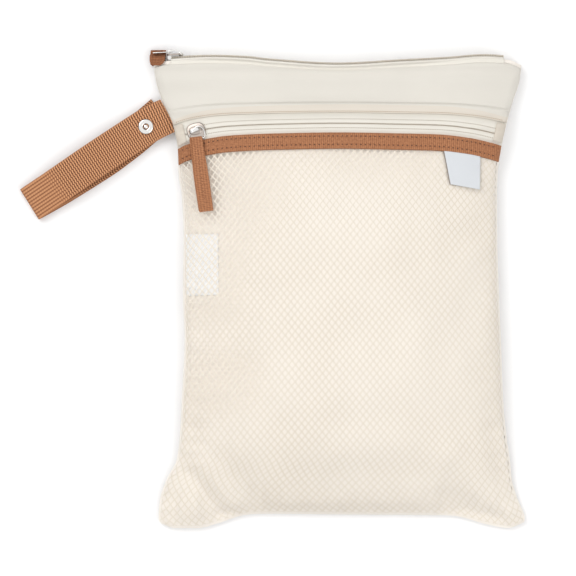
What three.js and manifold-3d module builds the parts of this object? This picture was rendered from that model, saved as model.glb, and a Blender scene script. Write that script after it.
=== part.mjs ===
import * as THREE from "three";
import { mergeVertices } from "three/addons/utils/BufferGeometryUtils.js";
import Module from "manifold-3d";

// Flat wet bag with a zipped mouth, a zipped net pocket and a webbing strap closed by a snap.
// Millimetres, +Z up. The bag lies on its back, its mouth towards +Y, and the origin is the
// middle of the back, on the surface that it lies on.

// Bag body
const bagWidth = 260; // side seam to side seam at the corners
const bagLength = 338; // bottom corners to mouth corners
const bagFill = 33; // how far the filling lifts the front off the back
const seamLift = 6; // height of the side seams over the floor
const cornerDip = 10; // how far the bottom seam is drawn up between its corners
const mouthDip = 6; // how far the mouth sags between its corners
const panelWall = 1.2;
const layerGap = 0.3; // clearance between layers that lie on each other

// Net pocket and its zip
const zipDepth = 49.5; // mouth to the binding's upper edge, along the middle
const zipDrop = 11.6; // how far the pocket zip bends down towards the side seams
const bindingWidth = 11.4;
const bindingWall = 1.4;
const zipReveal = 13.6; // zip tape that shows between binding and hem
const hemWidth = 6.1;
const hemWall = 1.9;
const pocketTapeWall = 1;
const pocketChainWidth = 6.3;
const pocketCoilHeight = 2.1;
const netWall = 1;
const netStandOff = 5.2; // where the net springs off the panel beside the pull
const endTabWidth = 6.5;
const endTabWall = 1;
const chainOffset = 5.8; // binding's edge to the middle of the chain
const coilSlope = 1.3; // tape that climbs over the coil, on each side
const coilInset = 0.5; // of the coil inside the raised tape, on each side
const tapeUnderHem = 1.2; // the tape ends this far before the hem does
const hemSlope = 1.6; // band that comes down from the hem
const pocketZipStart = 0.05; // of the width, where the coil begins and ends
const pocketZipEnd = 0.975;

// Mouth zip
const mouthTapeShow = 3.2; // tape between the panels and the coil
const mouthTapeWall = 1;
const mouthCoilWidth = 5.6;
const mouthCoilHeight = 2.2;
const mouthTabLength = 11.4;
const mouthTabHeight = 10.7;
const mouthTabWall = 1.1;
const frontLeafDrop = 3.8; // how much lower the tab's front leaf ends
const mouthTapeEdge = 0.05; // least thickness where a tape folds flat
const coilChamfer = 0.7;
const tabOverCoil = 5.2; // how far the end tab stands past the coil
const tabShortfall = 2.6; // its right end, short of mouthTabLength from the corner
const tabDrop = 0.5; // of its back leaf, below the back panel
const tabFoldDepth = 2.6; // how far its fold stands out to the left
const mouthZipStart = 0.045; // of the width, where the coil begins and ends
const mouthZipEnd = 0.955;

// Sliders and pulls
const sliderLength = 10;
const sliderWall = 1.1;
const bailWidth = 2;
const bailWire = 1.2;
const mouthBailLength = 9;
const mouthBailHeight = 4.1;
const pullLength = 13.5;
const pullWidth = 5.4;
const pullWall = 1;
const pullEyeBar = 1.1;
const pullWindow = 4.6; // slot behind the eye bar, which the bail passes through
const pullRake = 3; // degrees above -X at rest
const pullTipRound = 1.6;
const pivotSetback = 1.5; // eye bar's place in the bail, from its middle towards the pull
const pivotHeight = 1.3; // of the eye bar's middle over the plate
const sliderPlace = 0.053; // of the width, where the mouth's slider stands
const pocketBailLength = 8.4;
const pocketBailHeight = 3.6;
const pocketSliderPlace = 0.066; // of the width, where the pocket's slider stands
const pocketSliderLip = 0.7; // of its plate past the chain, on each side
const pocketBailSetback = 0.4; // bail's middle from the plate's, towards the pull
const ringWire = 1.1;
const ringWidth = 10.4;
const ringLength = 12;
const ringAtBail = 5.4; // of the ring's length, at and over the bail
const pullTapeLength = 54;
const pullTapeWidth = 9.2;
const pullTapeWall = 0.8;
const pullTapeLean = 7.5; // degrees from -Y towards +X

// Strap and snap
const strapWidth = 25.4;
const strapWall = 1.4;
const strapLoopLength = 117; // side seam to fold
const strapLoopGap = 6.6; // between the two layers, midway
const foldRadius = 2.1; // of the webbing's middle line
const strapTail = 15.5; // snap to the free end
const snapSetback = 17.6; // side seam to snap
const snapCapDiameter = 11;
const snapBoreDiameter = 4.2;
const snapPostDiameter = 2.6;
const snapBarrelDiameter = 6;
const snapFlange = 1;

// Labels
const flagWidth = 26.4;
const flagLength = 25;
const flagLean = 11; // degrees from -Y towards +X
const flagPlace = 0.56; // its upper left corner, of half the bag's width
const flagWall = 0.8;
const careLabelWidth = 23;
const careLabelLength = 44;
const careLabelWall = 0.6;

// Side edges as shares of half the bag's width, against the height as a share of its length
const sideRows = [
  { height: 0, left: 0.955, right: 0.985 },
  { height: 0.018, left: 0.998, right: 1.006 },
  { height: 0.06, left: 0.988, right: 0.966 },
  { height: 0.1, left: 0.955, right: 0.934 },
  { height: 0.143, left: 0.898, right: 0.922 },
  { height: 0.19, left: 0.88, right: 0.904 },
  { height: 0.27, left: 0.868, right: 0.885 },
  { height: 0.4, left: 0.853, right: 0.872 },
  { height: 0.49, left: 0.861, right: 0.862 },
  { height: 0.62, left: 0.858, right: 0.852 },
  { height: 0.7, left: 0.868, right: 0.851 },
  { height: 0.745, left: 0.886, right: 0.854 },
  { height: 0.8, left: 0.892, right: 0.874 },
  { height: 0.85, left: 0.918, right: 0.902 },
  { height: 0.9, left: 0.975, right: 0.938 },
  { height: 0.945, left: 1.012, right: 0.975 },
  { height: 0.98, left: 1.023, right: 0.985 },
  { height: 1, left: 1.015, right: 0.978 },
];

// Bottom and mouth edges between the side seams, and the bend of the pocket zip, as shares of
// cornerDip, mouthDip and zipDrop
const crossRows = [
  { across: 0, bottom: 0.3, mouth: 0.62, zip: 1 },
  { across: 0.02, bottom: 0, mouth: 0.4, zip: 0.8 },
  { across: 0.08, bottom: 0, mouth: 0.2, zip: 0.44 },
  { across: 0.157, bottom: 0.33, mouth: 0.08, zip: 0.2 },
  { across: 0.245, bottom: 0.97, mouth: 0.2, zip: 0.1 },
  { across: 0.31, bottom: 1.05, mouth: 0.5, zip: 0.06 },
  { across: 0.5, bottom: 1, mouth: 1, zip: 0 },
  { across: 0.68, bottom: 0.97, mouth: 0.6, zip: 0.06 },
  { across: 0.8, bottom: 0.88, mouth: 0.32, zip: 0.12 },
  { across: 0.9, bottom: 0.26, mouth: 0, zip: 0.34 },
  { across: 0.967, bottom: 0, mouth: 0.2, zip: 0.62 },
  { across: 1, bottom: 0.4, mouth: 0.8, zip: 0.8 },
];

// Crown of the front as a share of bagFill, the seams' height as a share of seamLift, and how
// square the cross-section is
const crownRows = [
  { height: 0, crown: 0, lift: 0.15, squareness: 2.6 },
  { height: 0.035, crown: 0.3, lift: 0.2, squareness: 2.6 },
  { height: 0.09, crown: 0.56, lift: 0.35, squareness: 2.5 },
  { height: 0.18, crown: 0.84, lift: 0.75, squareness: 2.4 },
  { height: 0.32, crown: 1, lift: 1, squareness: 2.4 },
  { height: 0.5, crown: 0.97, lift: 1, squareness: 2.4 },
  { height: 0.66, crown: 0.84, lift: 0.95, squareness: 2.6 },
  { height: 0.78, crown: 0.68, lift: 0.85, squareness: 3 },
  { height: 0.87, crown: 0.5, lift: 0.75, squareness: 3.6 },
  { height: 0.95, crown: 0.34, lift: 0.6, squareness: 5 },
  { height: 1, crown: 0.27, lift: 0.5, squareness: 7 },
];

// Dents and folds of the front: ends and width as shares of half the bag's width (x, width) and
// half its length (y), depth as a share of bagFill
const foldRows = [
  { fromX: -0.62, fromY: 0.86, toX: 0.4, toY: 0.84, width: 0.17, depth: -0.1 }, // below the mouth
  { fromX: -0.78, fromY: 0.7, toX: -0.5, toY: 0.74, width: 0.1, depth: -0.06 }, // by the strap
  { fromX: -0.9, fromY: -0.7, toX: -0.62, toY: -0.98, width: 0.06, depth: -0.1 }, // left ear
  { fromX: -0.84, fromY: -0.6, toX: -0.5, toY: -0.86, width: 0.09, depth: -0.05 },
  { fromX: 0.93, fromY: -0.68, toX: 0.72, toY: -0.93, width: 0.06, depth: -0.12 }, // right ear
  { fromX: 0.66, fromY: -0.84, toX: 0.74, toY: -0.96, width: 0.07, depth: -0.07 },
  { fromX: -0.78, fromY: -0.36, toX: -0.5, toY: -0.34, width: 0.1, depth: -0.05 }, // left side
  { fromX: 0.84, fromY: 0.3, toX: 0.62, toY: 0.2, width: 0.08, depth: -0.03 }, // right side
];

// Mesh density
const columns = 20;
const lowerRows = 13;
const upperRows = 4;

const clamp = THREE.MathUtils.clamp;
const lerp = THREE.MathUtils.lerp;
const radians = THREE.MathUtils.degToRad;
const vec = (x, y, z) => new THREE.Vector3(x, y, z);

// A smooth curve through one named column of a table, without overshoot
function follow(rows, key, column, at) {
  const last = rows.length - 1;
  let i = 0;
  while (i < last - 1 && at > rows[i + 1][key]) i += 1;
  const span = rows[i + 1][key] - rows[i][key];
  const slope = (j) => {
    if (j < 1 || j > last) return 0;
    return (rows[j][column] - rows[j - 1][column]) / (rows[j][key] - rows[j - 1][key]);
  };
  const tangent = (j) => {
    if (j === 0) return slope(1);
    if (j === last) return slope(last);
    const before = slope(j);
    const after = slope(j + 1);
    return before * after <= 0 ? 0 : (2 * before * after) / (before + after);
  };
  const t = clamp((at - rows[i][key]) / span, 0, 1);
  const t2 = t * t;
  const t3 = t2 * t;
  return (
    (2 * t3 - 3 * t2 + 1) * rows[i][column] +
    (t3 - 2 * t2 + t) * span * tangent(i) +
    (3 * t2 - 2 * t3) * rows[i + 1][column] +
    (t3 - t2) * span * tangent(i + 1)
  );
}

const halfWidth = bagWidth / 2;
const halfLength = bagLength / 2;
const panelTop = halfLength - mouthTapeShow; // panels end here and the zip tape goes on

// Height share of a line that lies a distance below the mouth, along the middle
const bottomMiddle = -halfLength + cornerDip;
const mouthMiddle = panelTop - mouthDip;
const rowAt = (depth) => 1 - (depth - mouthTapeShow) / (mouthMiddle - bottomMiddle);

const chainCentre = zipDepth - chainOffset;
const halfChain = pocketChainWidth / 2;
const lines = {
  bindingLow: rowAt(zipDepth + bindingWidth),
  netTop: rowAt(zipDepth + bindingWidth / 2 + layerGap / 2),
  tapeLow: rowAt(zipDepth + bindingWidth / 2 - layerGap / 2),
  bindingTop: rowAt(zipDepth),
  chainFoot: rowAt(chainCentre + halfChain + coilSlope),
  chainLow: rowAt(chainCentre + halfChain),
  partingLow: rowAt(chainCentre + layerGap / 2),
  partingTop: rowAt(chainCentre - layerGap / 2),
  chainTop: rowAt(chainCentre - halfChain),
  chainHead: rowAt(chainCentre - halfChain - coilSlope),
  hemLow: rowAt(zipDepth - zipReveal),
  tapeTop: rowAt(zipDepth - zipReveal - hemWidth + tapeUnderHem),
  hemTop: rowAt(zipDepth - zipReveal - hemWidth),
  bandRest: rowAt(zipDepth - zipReveal - hemWidth - hemSlope),
};

// The zip's bend fades out towards the bottom and the mouth
function bendAt(row) {
  const centre = lines.bindingTop;
  const reach = row < centre ? centre * 0.62 : 1 - centre;
  return THREE.MathUtils.smoothstep(1 - Math.abs(row - centre) / reach, 0, 1);
}

function planAt(across, row) {
  const ear = cornerDip * (1 - follow(crossRows, "across", "bottom", across));
  const peak = mouthDip * (1 - follow(crossRows, "across", "mouth", across));
  const bend = zipDrop * follow(crossRows, "across", "zip", across) * bendAt(row);
  const earFade = Math.pow(clamp(1 - row / 0.3, 0, 1), 2);
  const peakFade = Math.pow(clamp((row - lines.hemTop) / (1 - lines.hemTop), 0, 1), 1.5);
  const y = lerp(bottomMiddle, mouthMiddle, row) - ear * earFade + peak * peakFade - bend;
  const height = (y + halfLength) / bagLength;
  const left = -halfWidth * follow(sideRows, "height", "left", height);
  const right = halfWidth * follow(sideRows, "height", "right", height);
  return { x: lerp(left, right, across), y };
}

const ramp = (value, start, power) => Math.pow(clamp((value - start) / (1 - start), 0, 1), power);
const smooth = (share) => THREE.MathUtils.smoothstep(share, 0, 1);
const seamX = (y) => -halfWidth * follow(sideRows, "height", "left", (y + halfLength) / bagLength);

// How far the back panel is lifted off the floor towards its seams. It lies flat up to these
// shares of the way from its middle to each side seam, and of its height from top and bottom
const flatReach = { side: 0.62, bottom: 0.88, mouth: 0.86 };
function liftAt(across, row) {
  const side = Math.abs(2 * across - 1);
  const atSide = ramp(side, flatReach.side, 2);
  const atBottom = ramp(1 - row, flatReach.bottom, 2);
  const atMouth = ramp(row, flatReach.mouth, 2);
  const edge = 1 - (1 - atSide) * (1 - atBottom) * (1 - atMouth);
  return seamLift * follow(crownRows, "height", "lift", row) * edge;
}

function foldAt(x, y) {
  let sum = 0;
  for (const fold of foldRows) {
    const start = vec(fold.fromX * halfWidth, fold.fromY * halfLength, 0);
    const line = vec(fold.toX * halfWidth, fold.toY * halfLength, 0).sub(start);
    const point = vec(x, y, 0).sub(start);
    const share = clamp(point.dot(line) / line.lengthSq(), 0, 1);
    const away = point.distanceTo(line.multiplyScalar(share)) / (fold.width * halfWidth);
    sum += fold.depth * Math.exp(-away * away);
  }
  return sum * bagFill;
}

// Underside of the front panel
function frontAt(across, row) {
  const side = Math.abs(2 * across - 1);
  const square = follow(crownRows, "height", "squareness", row);
  const dome = Math.pow(1 - Math.pow(side, square), 1 / 1.5);
  const plan = planAt(across, row);
  const crown = bagFill * follow(crownRows, "height", "crown", row);
  const fold = row < 1 ? foldAt(plan.x, plan.y) * Math.min(1, dome * 1.6) : 0;
  return liftAt(across, row) + panelWall + layerGap + Math.max(crown * dome + fold, 0);
}

// Layers are stacked upright, so a steep stretch takes more height for the same thickness
const steepLimit = 1.45;
function steepAt(across, row) {
  const step = 0.02;
  const a = clamp(across, step, 1 - step);
  const r = clamp(row, step, 1 - step);
  const dx = planAt(a + step, r).x - planAt(a - step, r).x;
  const dy = planAt(a, r + step).y - planAt(a, r - step).y;
  const riseX = (frontAt(a + step, r) - frontAt(a - step, r)) / dx;
  const riseY = (frontAt(a, r + step) - frontAt(a, r - step)) / dy;
  return Math.min(Math.hypot(1, riseX, riseY), steepLimit);
}

const netFloor = panelWall + layerGap;
const coverLevel = netFloor + Math.max(pocketTapeWall, netWall) + layerGap;

// How far the net stands off: beside the pull, over the care label and in loose patches, with
// the middle, reach and height as shares of half the bag's width, half its length and netStandOff
const netRows = [
  { x: -0.74, y: 0.5, reachX: 0.26, reachY: 0.2, height: 1 },
  { x: 0.18, y: 0.6, reachX: 0.32, reachY: 0.1, height: 0.35 },
  { x: -0.72, y: -0.38, reachX: 0.2, reachY: 0.1, height: 0.35 },
];
const careMiddle = 0.11; // of half the bag's length
const careMargin = 28; // net that is lifted around the care label
function netLift(across, row) {
  const plan = planAt(across, row);
  const side = Math.abs(2 * across - 1);
  let lift = 0;
  for (const patch of netRows) {
    const dx = (plan.x / halfWidth - patch.x) / patch.reachX;
    const dy = (plan.y / halfLength - patch.y) / patch.reachY;
    lift += patch.height * netStandOff * Math.exp(-dx * dx - dy * dy);
  }
  lift *= 1 - Math.pow(side, 14);
  const pastEnd = Math.abs(plan.y - careMiddle * halfLength) - careLabelLength / 2;
  const pastSide = plan.x - seamX(plan.y) - careLabelWidth;
  const overLabel = smooth(1 - pastEnd / careMargin) * smooth(1 - pastSide / careMargin);
  const fade = clamp((lines.bindingLow - row) * 14, 0, 1);
  return (lift + (careLabelWall + 3 * layerGap) * overLabel) * fade;
}

// Level of the zip tape, which rides over the coil
function tapeLevel(row) {
  const raised = netFloor + pocketCoilHeight + layerGap;
  if (row >= lines.chainLow && row <= lines.chainTop) return raised;
  return netFloor;
}

const bandFloor = (row) => (row <= lines.hemTop ? coverLevel : netFloor);
const bandWallAt = (row) => (row <= lines.hemTop ? hemWall : panelWall);

const columnList = [];
for (let i = 0; i <= columns; i += 1) columnList.push((1 - Math.cos((Math.PI * i) / columns)) / 2);
const rowList = [];
for (let i = 0; i < lowerRows; i += 1) {
  rowList.push(lines.bindingLow * Math.pow(i / lowerRows, 1.12));
}
rowList.push(...Object.values(lines).sort((a, b) => a - b));
for (let i = 1; i <= upperRows; i += 1) rowList.push(lerp(lines.bandRest, 1, i / upperRows));
const rowsBetween = (low, high) => rowList.filter((row) => row >= low - 1e-9 && row <= high + 1e-9);
const columnsBetween = (low, high) => columnList.filter((c) => c >= low - 1e-9 && c <= high + 1e-9);

const stackPoint = (across, row, level) => {
  const plan = planAt(across, row);
  return vec(plan.x, plan.y, frontAt(across, row) + steepAt(across, row) * level);
};

// Solids from rings of points: each section is a ring, and the ends are closed flat
function facesOut(points, triangles) {
  let volume = 0;
  for (let i = 0; i < triangles.length; i += 3) {
    const [a, b, c] = [points[triangles[i]], points[triangles[i + 1]], points[triangles[i + 2]]];
    volume += a.dot(vec(0, 0, 0).crossVectors(b, c));
  }
  const index = volume < 0 ? triangles.slice().reverse() : triangles;
  const places = points.flatMap((point) => point.toArray());
  const geometry = new THREE.BufferGeometry();
  geometry.setAttribute("position", new THREE.Float32BufferAttribute(places, 3));
  geometry.setIndex(index);
  return geometry;
}

function ringSolid(sections, closed = false) {
  const points = sections.flat();
  const size = sections[0].length;
  const triangles = [];
  const joins = closed ? sections.length : sections.length - 1;
  for (let s = 0; s < joins; s += 1) {
    const here = s * size;
    const next = ((s + 1) % sections.length) * size;
    for (let k = 0; k < size; k += 1) {
      const after = (k + 1) % size;
      triangles.push(here + k, next + k, next + after, here + k, next + after, here + after);
    }
  }
  if (!closed) {
    const end = (sections.length - 1) * size;
    for (let k = 1; k < size - 1; k += 1) {
      triangles.push(0, k, k + 1);
      triangles.push(end, end + k + 1, end + k);
    }
  }
  return facesOut(points, triangles);
}

// A sheet between a lower and an upper surface over a grid of columns and rows
function sheetSolid(acrossList, upList, lower, upper) {
  const wide = acrossList.length;
  const high = upList.length;
  const points = [];
  for (const surface of [lower, upper]) {
    for (const up of upList) for (const across of acrossList) points.push(surface(across, up));
  }
  const base = wide * high;
  const triangles = [];
  const quad = (a, b, c, d) => triangles.push(a, b, c, a, c, d);
  for (let j = 0; j < high - 1; j += 1) {
    for (let i = 0; i < wide - 1; i += 1) {
      const a = j * wide + i;
      quad(base + a, base + a + 1, base + a + wide + 1, base + a + wide);
      triangles.push(a, a + wide + 1, a + 1, a, a + wide, a + wide + 1);
    }
  }
  const rim = [];
  for (let i = 0; i < wide - 1; i += 1) rim.push(i);
  for (let j = 0; j < high - 1; j += 1) rim.push(j * wide + wide - 1);
  for (let i = wide - 1; i > 0; i -= 1) rim.push((high - 1) * wide + i);
  for (let j = high - 1; j > 0; j -= 1) rim.push(j * wide);
  rim.forEach((a, k) => {
    const b = rim[(k + 1) % rim.length];
    quad(a, b, base + b, base + a);
  });
  return facesOut(points, triangles);
}

// A flat band: each station has its two edge points and the way its thickness goes
function ribbonSolid(stations, wall) {
  return ringSolid(
    stations.map(({ a, b, out }) => {
      const half = out.clone().multiplyScalar(wall / 2);
      return [a.clone().sub(half), b.clone().sub(half), b.clone().add(half), a.clone().add(half)];
    }),
  );
}

const wasm = await Module();
wasm.setup();

function manifoldOf(geometry) {
  const bare = geometry.clone();
  bare.deleteAttribute("normal");
  bare.deleteAttribute("uv");
  const merged = mergeVertices(bare, 1e-4);
  return new wasm.Manifold(
    new wasm.Mesh({
      numProp: 3,
      vertProperties: new Float32Array(merged.attributes.position.array),
      triVerts: new Uint32Array(merged.index.array),
    }),
  );
}

function geometryOf(manifold) {
  const mesh = manifold.getMesh();
  const places = new Float32Array(mesh.vertProperties);
  const geometry = new THREE.BufferGeometry();
  geometry.setAttribute("position", new THREE.BufferAttribute(places, 3));
  geometry.setIndex(new THREE.BufferAttribute(new Uint32Array(mesh.triVerts), 1));
  return geometry;
}

const joined = (...geometries) => geometryOf(geometries.map(manifoldOf).reduce((a, b) => a.add(b)));
function cutBy(geometry, ...tools) {
  return geometryOf(tools.map(manifoldOf).reduce((a, b) => a.subtract(b), manifoldOf(geometry)));
}

const colours = {
  cream: new THREE.MeshStandardMaterial({ color: 0xf3ede0, roughness: 0.75, metalness: 0 }),
  satin: new THREE.MeshStandardMaterial({ color: 0xece8dc, roughness: 0.5, metalness: 0 }),
  net: new THREE.MeshStandardMaterial({ color: 0xf8f3e8, roughness: 0.6, metalness: 0 }),
  brown: new THREE.MeshStandardMaterial({ color: 0xb27650, roughness: 0.85, metalness: 0 }),
  tape: new THREE.MeshStandardMaterial({ color: 0xf2efe8, roughness: 0.7, metalness: 0 }),
  nylon: new THREE.MeshStandardMaterial({ color: 0xefebe2, roughness: 0.4, metalness: 0 }),
  silver: new THREE.MeshStandardMaterial({ color: 0xd2d4d6, roughness: 0.25, metalness: 1 }),
  label: new THREE.MeshStandardMaterial({ color: 0xe6e9ed, roughness: 0.55, metalness: 0 }),
};

const bag = new THREE.Group();
function add(name, geometry, material, group = bag) {
  const mesh = new THREE.Mesh(geometry, material);
  mesh.name = name;
  group.add(mesh);
  return mesh;
}

// Panels
const allRows = rowsBetween(0, 1);
const backPoint = (extra) => (across, row) => {
  const plan = planAt(across, row);
  return vec(plan.x, plan.y, liftAt(across, row) + extra);
};
const stack = (level) => (across, row) => stackPoint(across, row, level);
add("back_panel", sheetSolid(columnList, allRows, backPoint(0), backPoint(panelWall)), colours.cream);
add("front_panel", sheetSolid(columnList, allRows, stack(0), stack(panelWall)), colours.cream);

const bandLow = (across, row) => stackPoint(across, row, bandFloor(row));
const bandHigh = (across, row) => stackPoint(across, row, bandFloor(row) + bandWallAt(row));
add("upper_band", sheetSolid(columnList, rowsBetween(lines.hemLow, 1), bandLow, bandHigh), colours.satin);

// Net pocket
const netLow = (across, row) => stackPoint(across, row, netFloor + netLift(across, row));
const netHigh = (across, row) => stackPoint(across, row, netFloor + netLift(across, row) + netWall);
add("mesh_pocket", sheetSolid(columnList, rowsBetween(0, lines.netTop), netLow, netHigh), colours.net);
const bindingRows = rowsBetween(lines.bindingLow, lines.bindingTop);
add(
  "pocket_binding",
  sheetSolid(columnList, bindingRows, stack(coverLevel), stack(coverLevel + bindingWall)),
  colours.brown,
);

// Pocket zip
const tapeLow = (across, row) => stackPoint(across, row, tapeLevel(row));
const tapeHigh = (across, row) => stackPoint(across, row, tapeLevel(row) + pocketTapeWall);
const lowerTapeRows = rowsBetween(lines.tapeLow, lines.partingLow);
const upperTapeRows = rowsBetween(lines.partingTop, lines.tapeTop);
add("pocket_zip_tape_lower", sheetSolid(columnList, lowerTapeRows, tapeLow, tapeHigh), colours.tape);
add("pocket_zip_tape_upper", sheetSolid(columnList, upperTapeRows, tapeLow, tapeHigh), colours.tape);

const coilColumns = columnsBetween(pocketZipStart, pocketZipEnd);
const coilEdge = [
  rowAt(chainCentre + halfChain - coilInset),
  rowAt(chainCentre - halfChain + coilInset),
];
add(
  "pocket_zip_coil",
  sheetSolid(coilColumns, coilEdge, stack(netFloor), stack(netFloor + pocketCoilHeight - layerGap)),
  colours.nylon,
);

// The covers over the ends of the pocket zip lie on the raised tape
const coverRows = rowsBetween(lines.bindingTop, lines.hemLow).slice(1, -1);
const coverFloor = netFloor + pocketCoilHeight + pocketTapeWall + 2 * layerGap;
const widthAtZip = planAt(1, lines.partingLow).x - planAt(0, lines.partingLow).x;
const coverShare = endTabWidth / widthAtZip;
for (const [name, start, end] of [
  ["pocket_zip_end_left", 0, coverShare],
  ["pocket_zip_end_right", 1 - coverShare, 1],
]) {
  const coverColumns = [...new Set([start, ...columnsBetween(start, end), end])];
  add(
    name,
    sheetSolid(coverColumns, coverRows, stack(coverFloor), stack(coverFloor + endTabWall)),
    colours.cream,
  );
}

// Where a point of the plan lies on the panels' grid
function locate(x, y) {
  let across = 0.5;
  let row = 0.5;
  for (let i = 0; i < 40; i += 1) {
    const plan = planAt(across, row);
    row = clamp(row + (0.8 * (y - plan.y)) / (mouthMiddle - bottomMiddle), 0, 1);
    const left = planAt(0, row).x;
    const right = planAt(1, row).x;
    across = clamp((x - left) / (right - left), 0, 1);
  }
  return { across, row };
}

// Height of a layer's facets over a point of the plan
function facetHeight(surface, x, y) {
  const { across, row } = locate(x, y);
  const i = clamp(columnList.findLastIndex((c) => c <= across), 0, columnList.length - 2);
  const j = clamp(rowList.findLastIndex((r) => r <= row), 0, rowList.length - 2);
  const s = clamp((across - columnList[i]) / (columnList[i + 1] - columnList[i]), 0, 1);
  const t = clamp((row - rowList[j]) / (rowList[j + 1] - rowList[j]), 0, 1);
  const corner = (di, dj) => surface(columnList[i + di], rowList[j + dj]).z;
  return lerp(lerp(corner(0, 0), corner(1, 0), s), lerp(corner(0, 1), corner(1, 1), s), t);
}

// Top of whatever lies outermost at a place of the front
function outside(across, row) {
  if (row >= lines.hemLow) return bandHigh(across, row);
  if (row > lines.bindingTop) return tapeHigh(across, row);
  if (row >= lines.bindingLow) return stackPoint(across, row, coverLevel + bindingWall);
  return netHigh(across, row);
}

function highestNear(surface, x, y, reach) {
  let top = -Infinity;
  for (const dx of [-reach, 0, reach]) {
    for (const dy of [-reach, 0, reach]) top = Math.max(top, facetHeight(surface, x + dx, y + dy));
  }
  return top;
}

// Mouth zip: the tapes turn from the panels' edges to the coil, which faces +Y
const mouthColumns = columnsBetween(mouthZipStart, mouthZipEnd);
const mouthSpan = [...new Set([mouthZipStart, ...mouthColumns, mouthZipEnd])];
function mouthAt(across) {
  const front = stackPoint(across, 1, netFloor + panelWall);
  const back = liftAt(across, 1);
  return { x: front.x, y: front.y, back, front: front.z, middle: (front.z + back) / 2 };
}
const tapeTurn = mouthTapeShow - mouthCoilHeight / 2 - layerGap; // the tapes' reach past the panels
function mouthTape(side, depth) {
  return (across, turn) => {
    const mouth = mouthAt(across);
    const edge = side > 0 ? mouth.front : mouth.back;
    const inner = mouth.middle + side * (mouthCoilWidth / 2 + layerGap);
    const rise = Math.max(Math.abs(edge - inner) - depth, mouthTapeEdge);
    const y = mouth.y + layerGap + (tapeTurn - depth) * Math.sin(turn);
    return vec(mouth.x, y, inner + side * rise * Math.cos(turn));
  };
}
const turns = [0, radians(35), radians(65), radians(90)];
for (const [name, side] of [["top_zip_tape_front", 1], ["top_zip_tape_back", -1]]) {
  const tape = sheetSolid(mouthSpan, turns, mouthTape(side, mouthTapeWall), mouthTape(side, 0));
  add(name, tape, colours.tape);
}

const coilRing = (across) => {
  const mouth = mouthAt(across);
  const top = mouth.y + mouthTapeShow;
  const half = mouthCoilWidth / 2;
  const section = [
    [top - mouthCoilHeight, -half],
    [top - coilChamfer, -half],
    [top, -half + coilChamfer],
    [top, half - coilChamfer],
    [top - coilChamfer, half],
    [top - mouthCoilHeight, half],
  ];
  return section.map(([y, z]) => vec(mouth.x, y, mouth.middle + z));
};
add("top_zip_coil", ringSolid(mouthSpan.map(coilRing)), colours.nylon);

const weldDepth = 0.2; // how deep parts of one casting run into each other
const noseShare = 0.32; // of the plate's width, half its blunt end
const noseChamfer = 1.2;
const tailRound = 2;

// A slider's bail: an arch over the plate, in the XY plane, with its hole along Z
function bailGeometry(length, height) {
  const arch = new THREE.Shape();
  arch.moveTo(-length / 2, -weldDepth);
  arch.lineTo(-length / 2, 0);
  arch.absellipse(0, 0, length / 2, height, Math.PI, 0, true);
  arch.lineTo(length / 2, -weldDepth);
  arch.lineTo(length / 2 - bailWire, -weldDepth);
  arch.absellipse(0, 0, length / 2 - bailWire, height - bailWire, 0, Math.PI, false);
  arch.lineTo(bailWire - length / 2, -weldDepth);
  arch.closePath();
  const settings = { depth: bailWidth, bevelEnabled: false, curveSegments: 8 };
  return new THREE.ExtrudeGeometry(arch, settings).translate(0, 0, -bailWidth / 2);
}

// A slider's plate seen from above, blunt at one end and narrower at the other
function plateShape(length, width) {
  const nose = width * noseShare;
  const end = length / 2;
  const half = width / 2;
  const plate = new THREE.Shape();
  plate.moveTo(-end, -nose);
  plate.lineTo(noseChamfer - end, -half);
  plate.lineTo(end - tailRound, -half);
  plate.quadraticCurveTo(end, -half, end, 0);
  plate.quadraticCurveTo(end, half, end - tailRound, half);
  plate.lineTo(noseChamfer - end, half);
  plate.lineTo(-end, nose);
  plate.closePath();
  return plate;
}

// Mouth slider: a channel over the coil, with the bail on its back, turned along the mouth
const mouthSlider = new THREE.Group();
const sliderAt = mouthAt(sliderPlace);
const ahead = mouthAt(sliderPlace + 0.03);
const sliderTilt = Math.atan2(ahead.y - sliderAt.y, ahead.x - sliderAt.x);
const sliderSeat = sliderAt.y + mouthTapeShow + 2 * layerGap;
mouthSlider.position.set(sliderAt.x, sliderSeat, sliderAt.middle);
mouthSlider.rotation.z = sliderTilt;
bag.add(mouthSlider);
const mouthSliderWidth = mouthCoilWidth + 2 * (2 * layerGap + sliderWall);
const mouthPlate = new THREE.ExtrudeGeometry(plateShape(sliderLength, mouthSliderWidth), {
  depth: sliderWall,
  bevelEnabled: false,
  curveSegments: 6,
}).rotateX(-Math.PI / 2);
const flangeHeight = mouthCoilHeight / 2 + weldDepth;
const flangeLength = sliderLength - noseChamfer - tailRound;
function flange(side) {
  const box = new THREE.BoxGeometry(flangeLength, flangeHeight, sliderWall);
  const offset = (side * (mouthSliderWidth - sliderWall)) / 2;
  return box.translate(0, weldDepth - flangeHeight / 2, offset);
}
add(
  "top_zip_slider",
  joined(
    mouthPlate,
    flange(1),
    flange(-1),
    bailGeometry(mouthBailLength, mouthBailHeight).translate(0, sliderWall, 0),
  ),
  colours.silver,
  mouthSlider,
);

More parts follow.
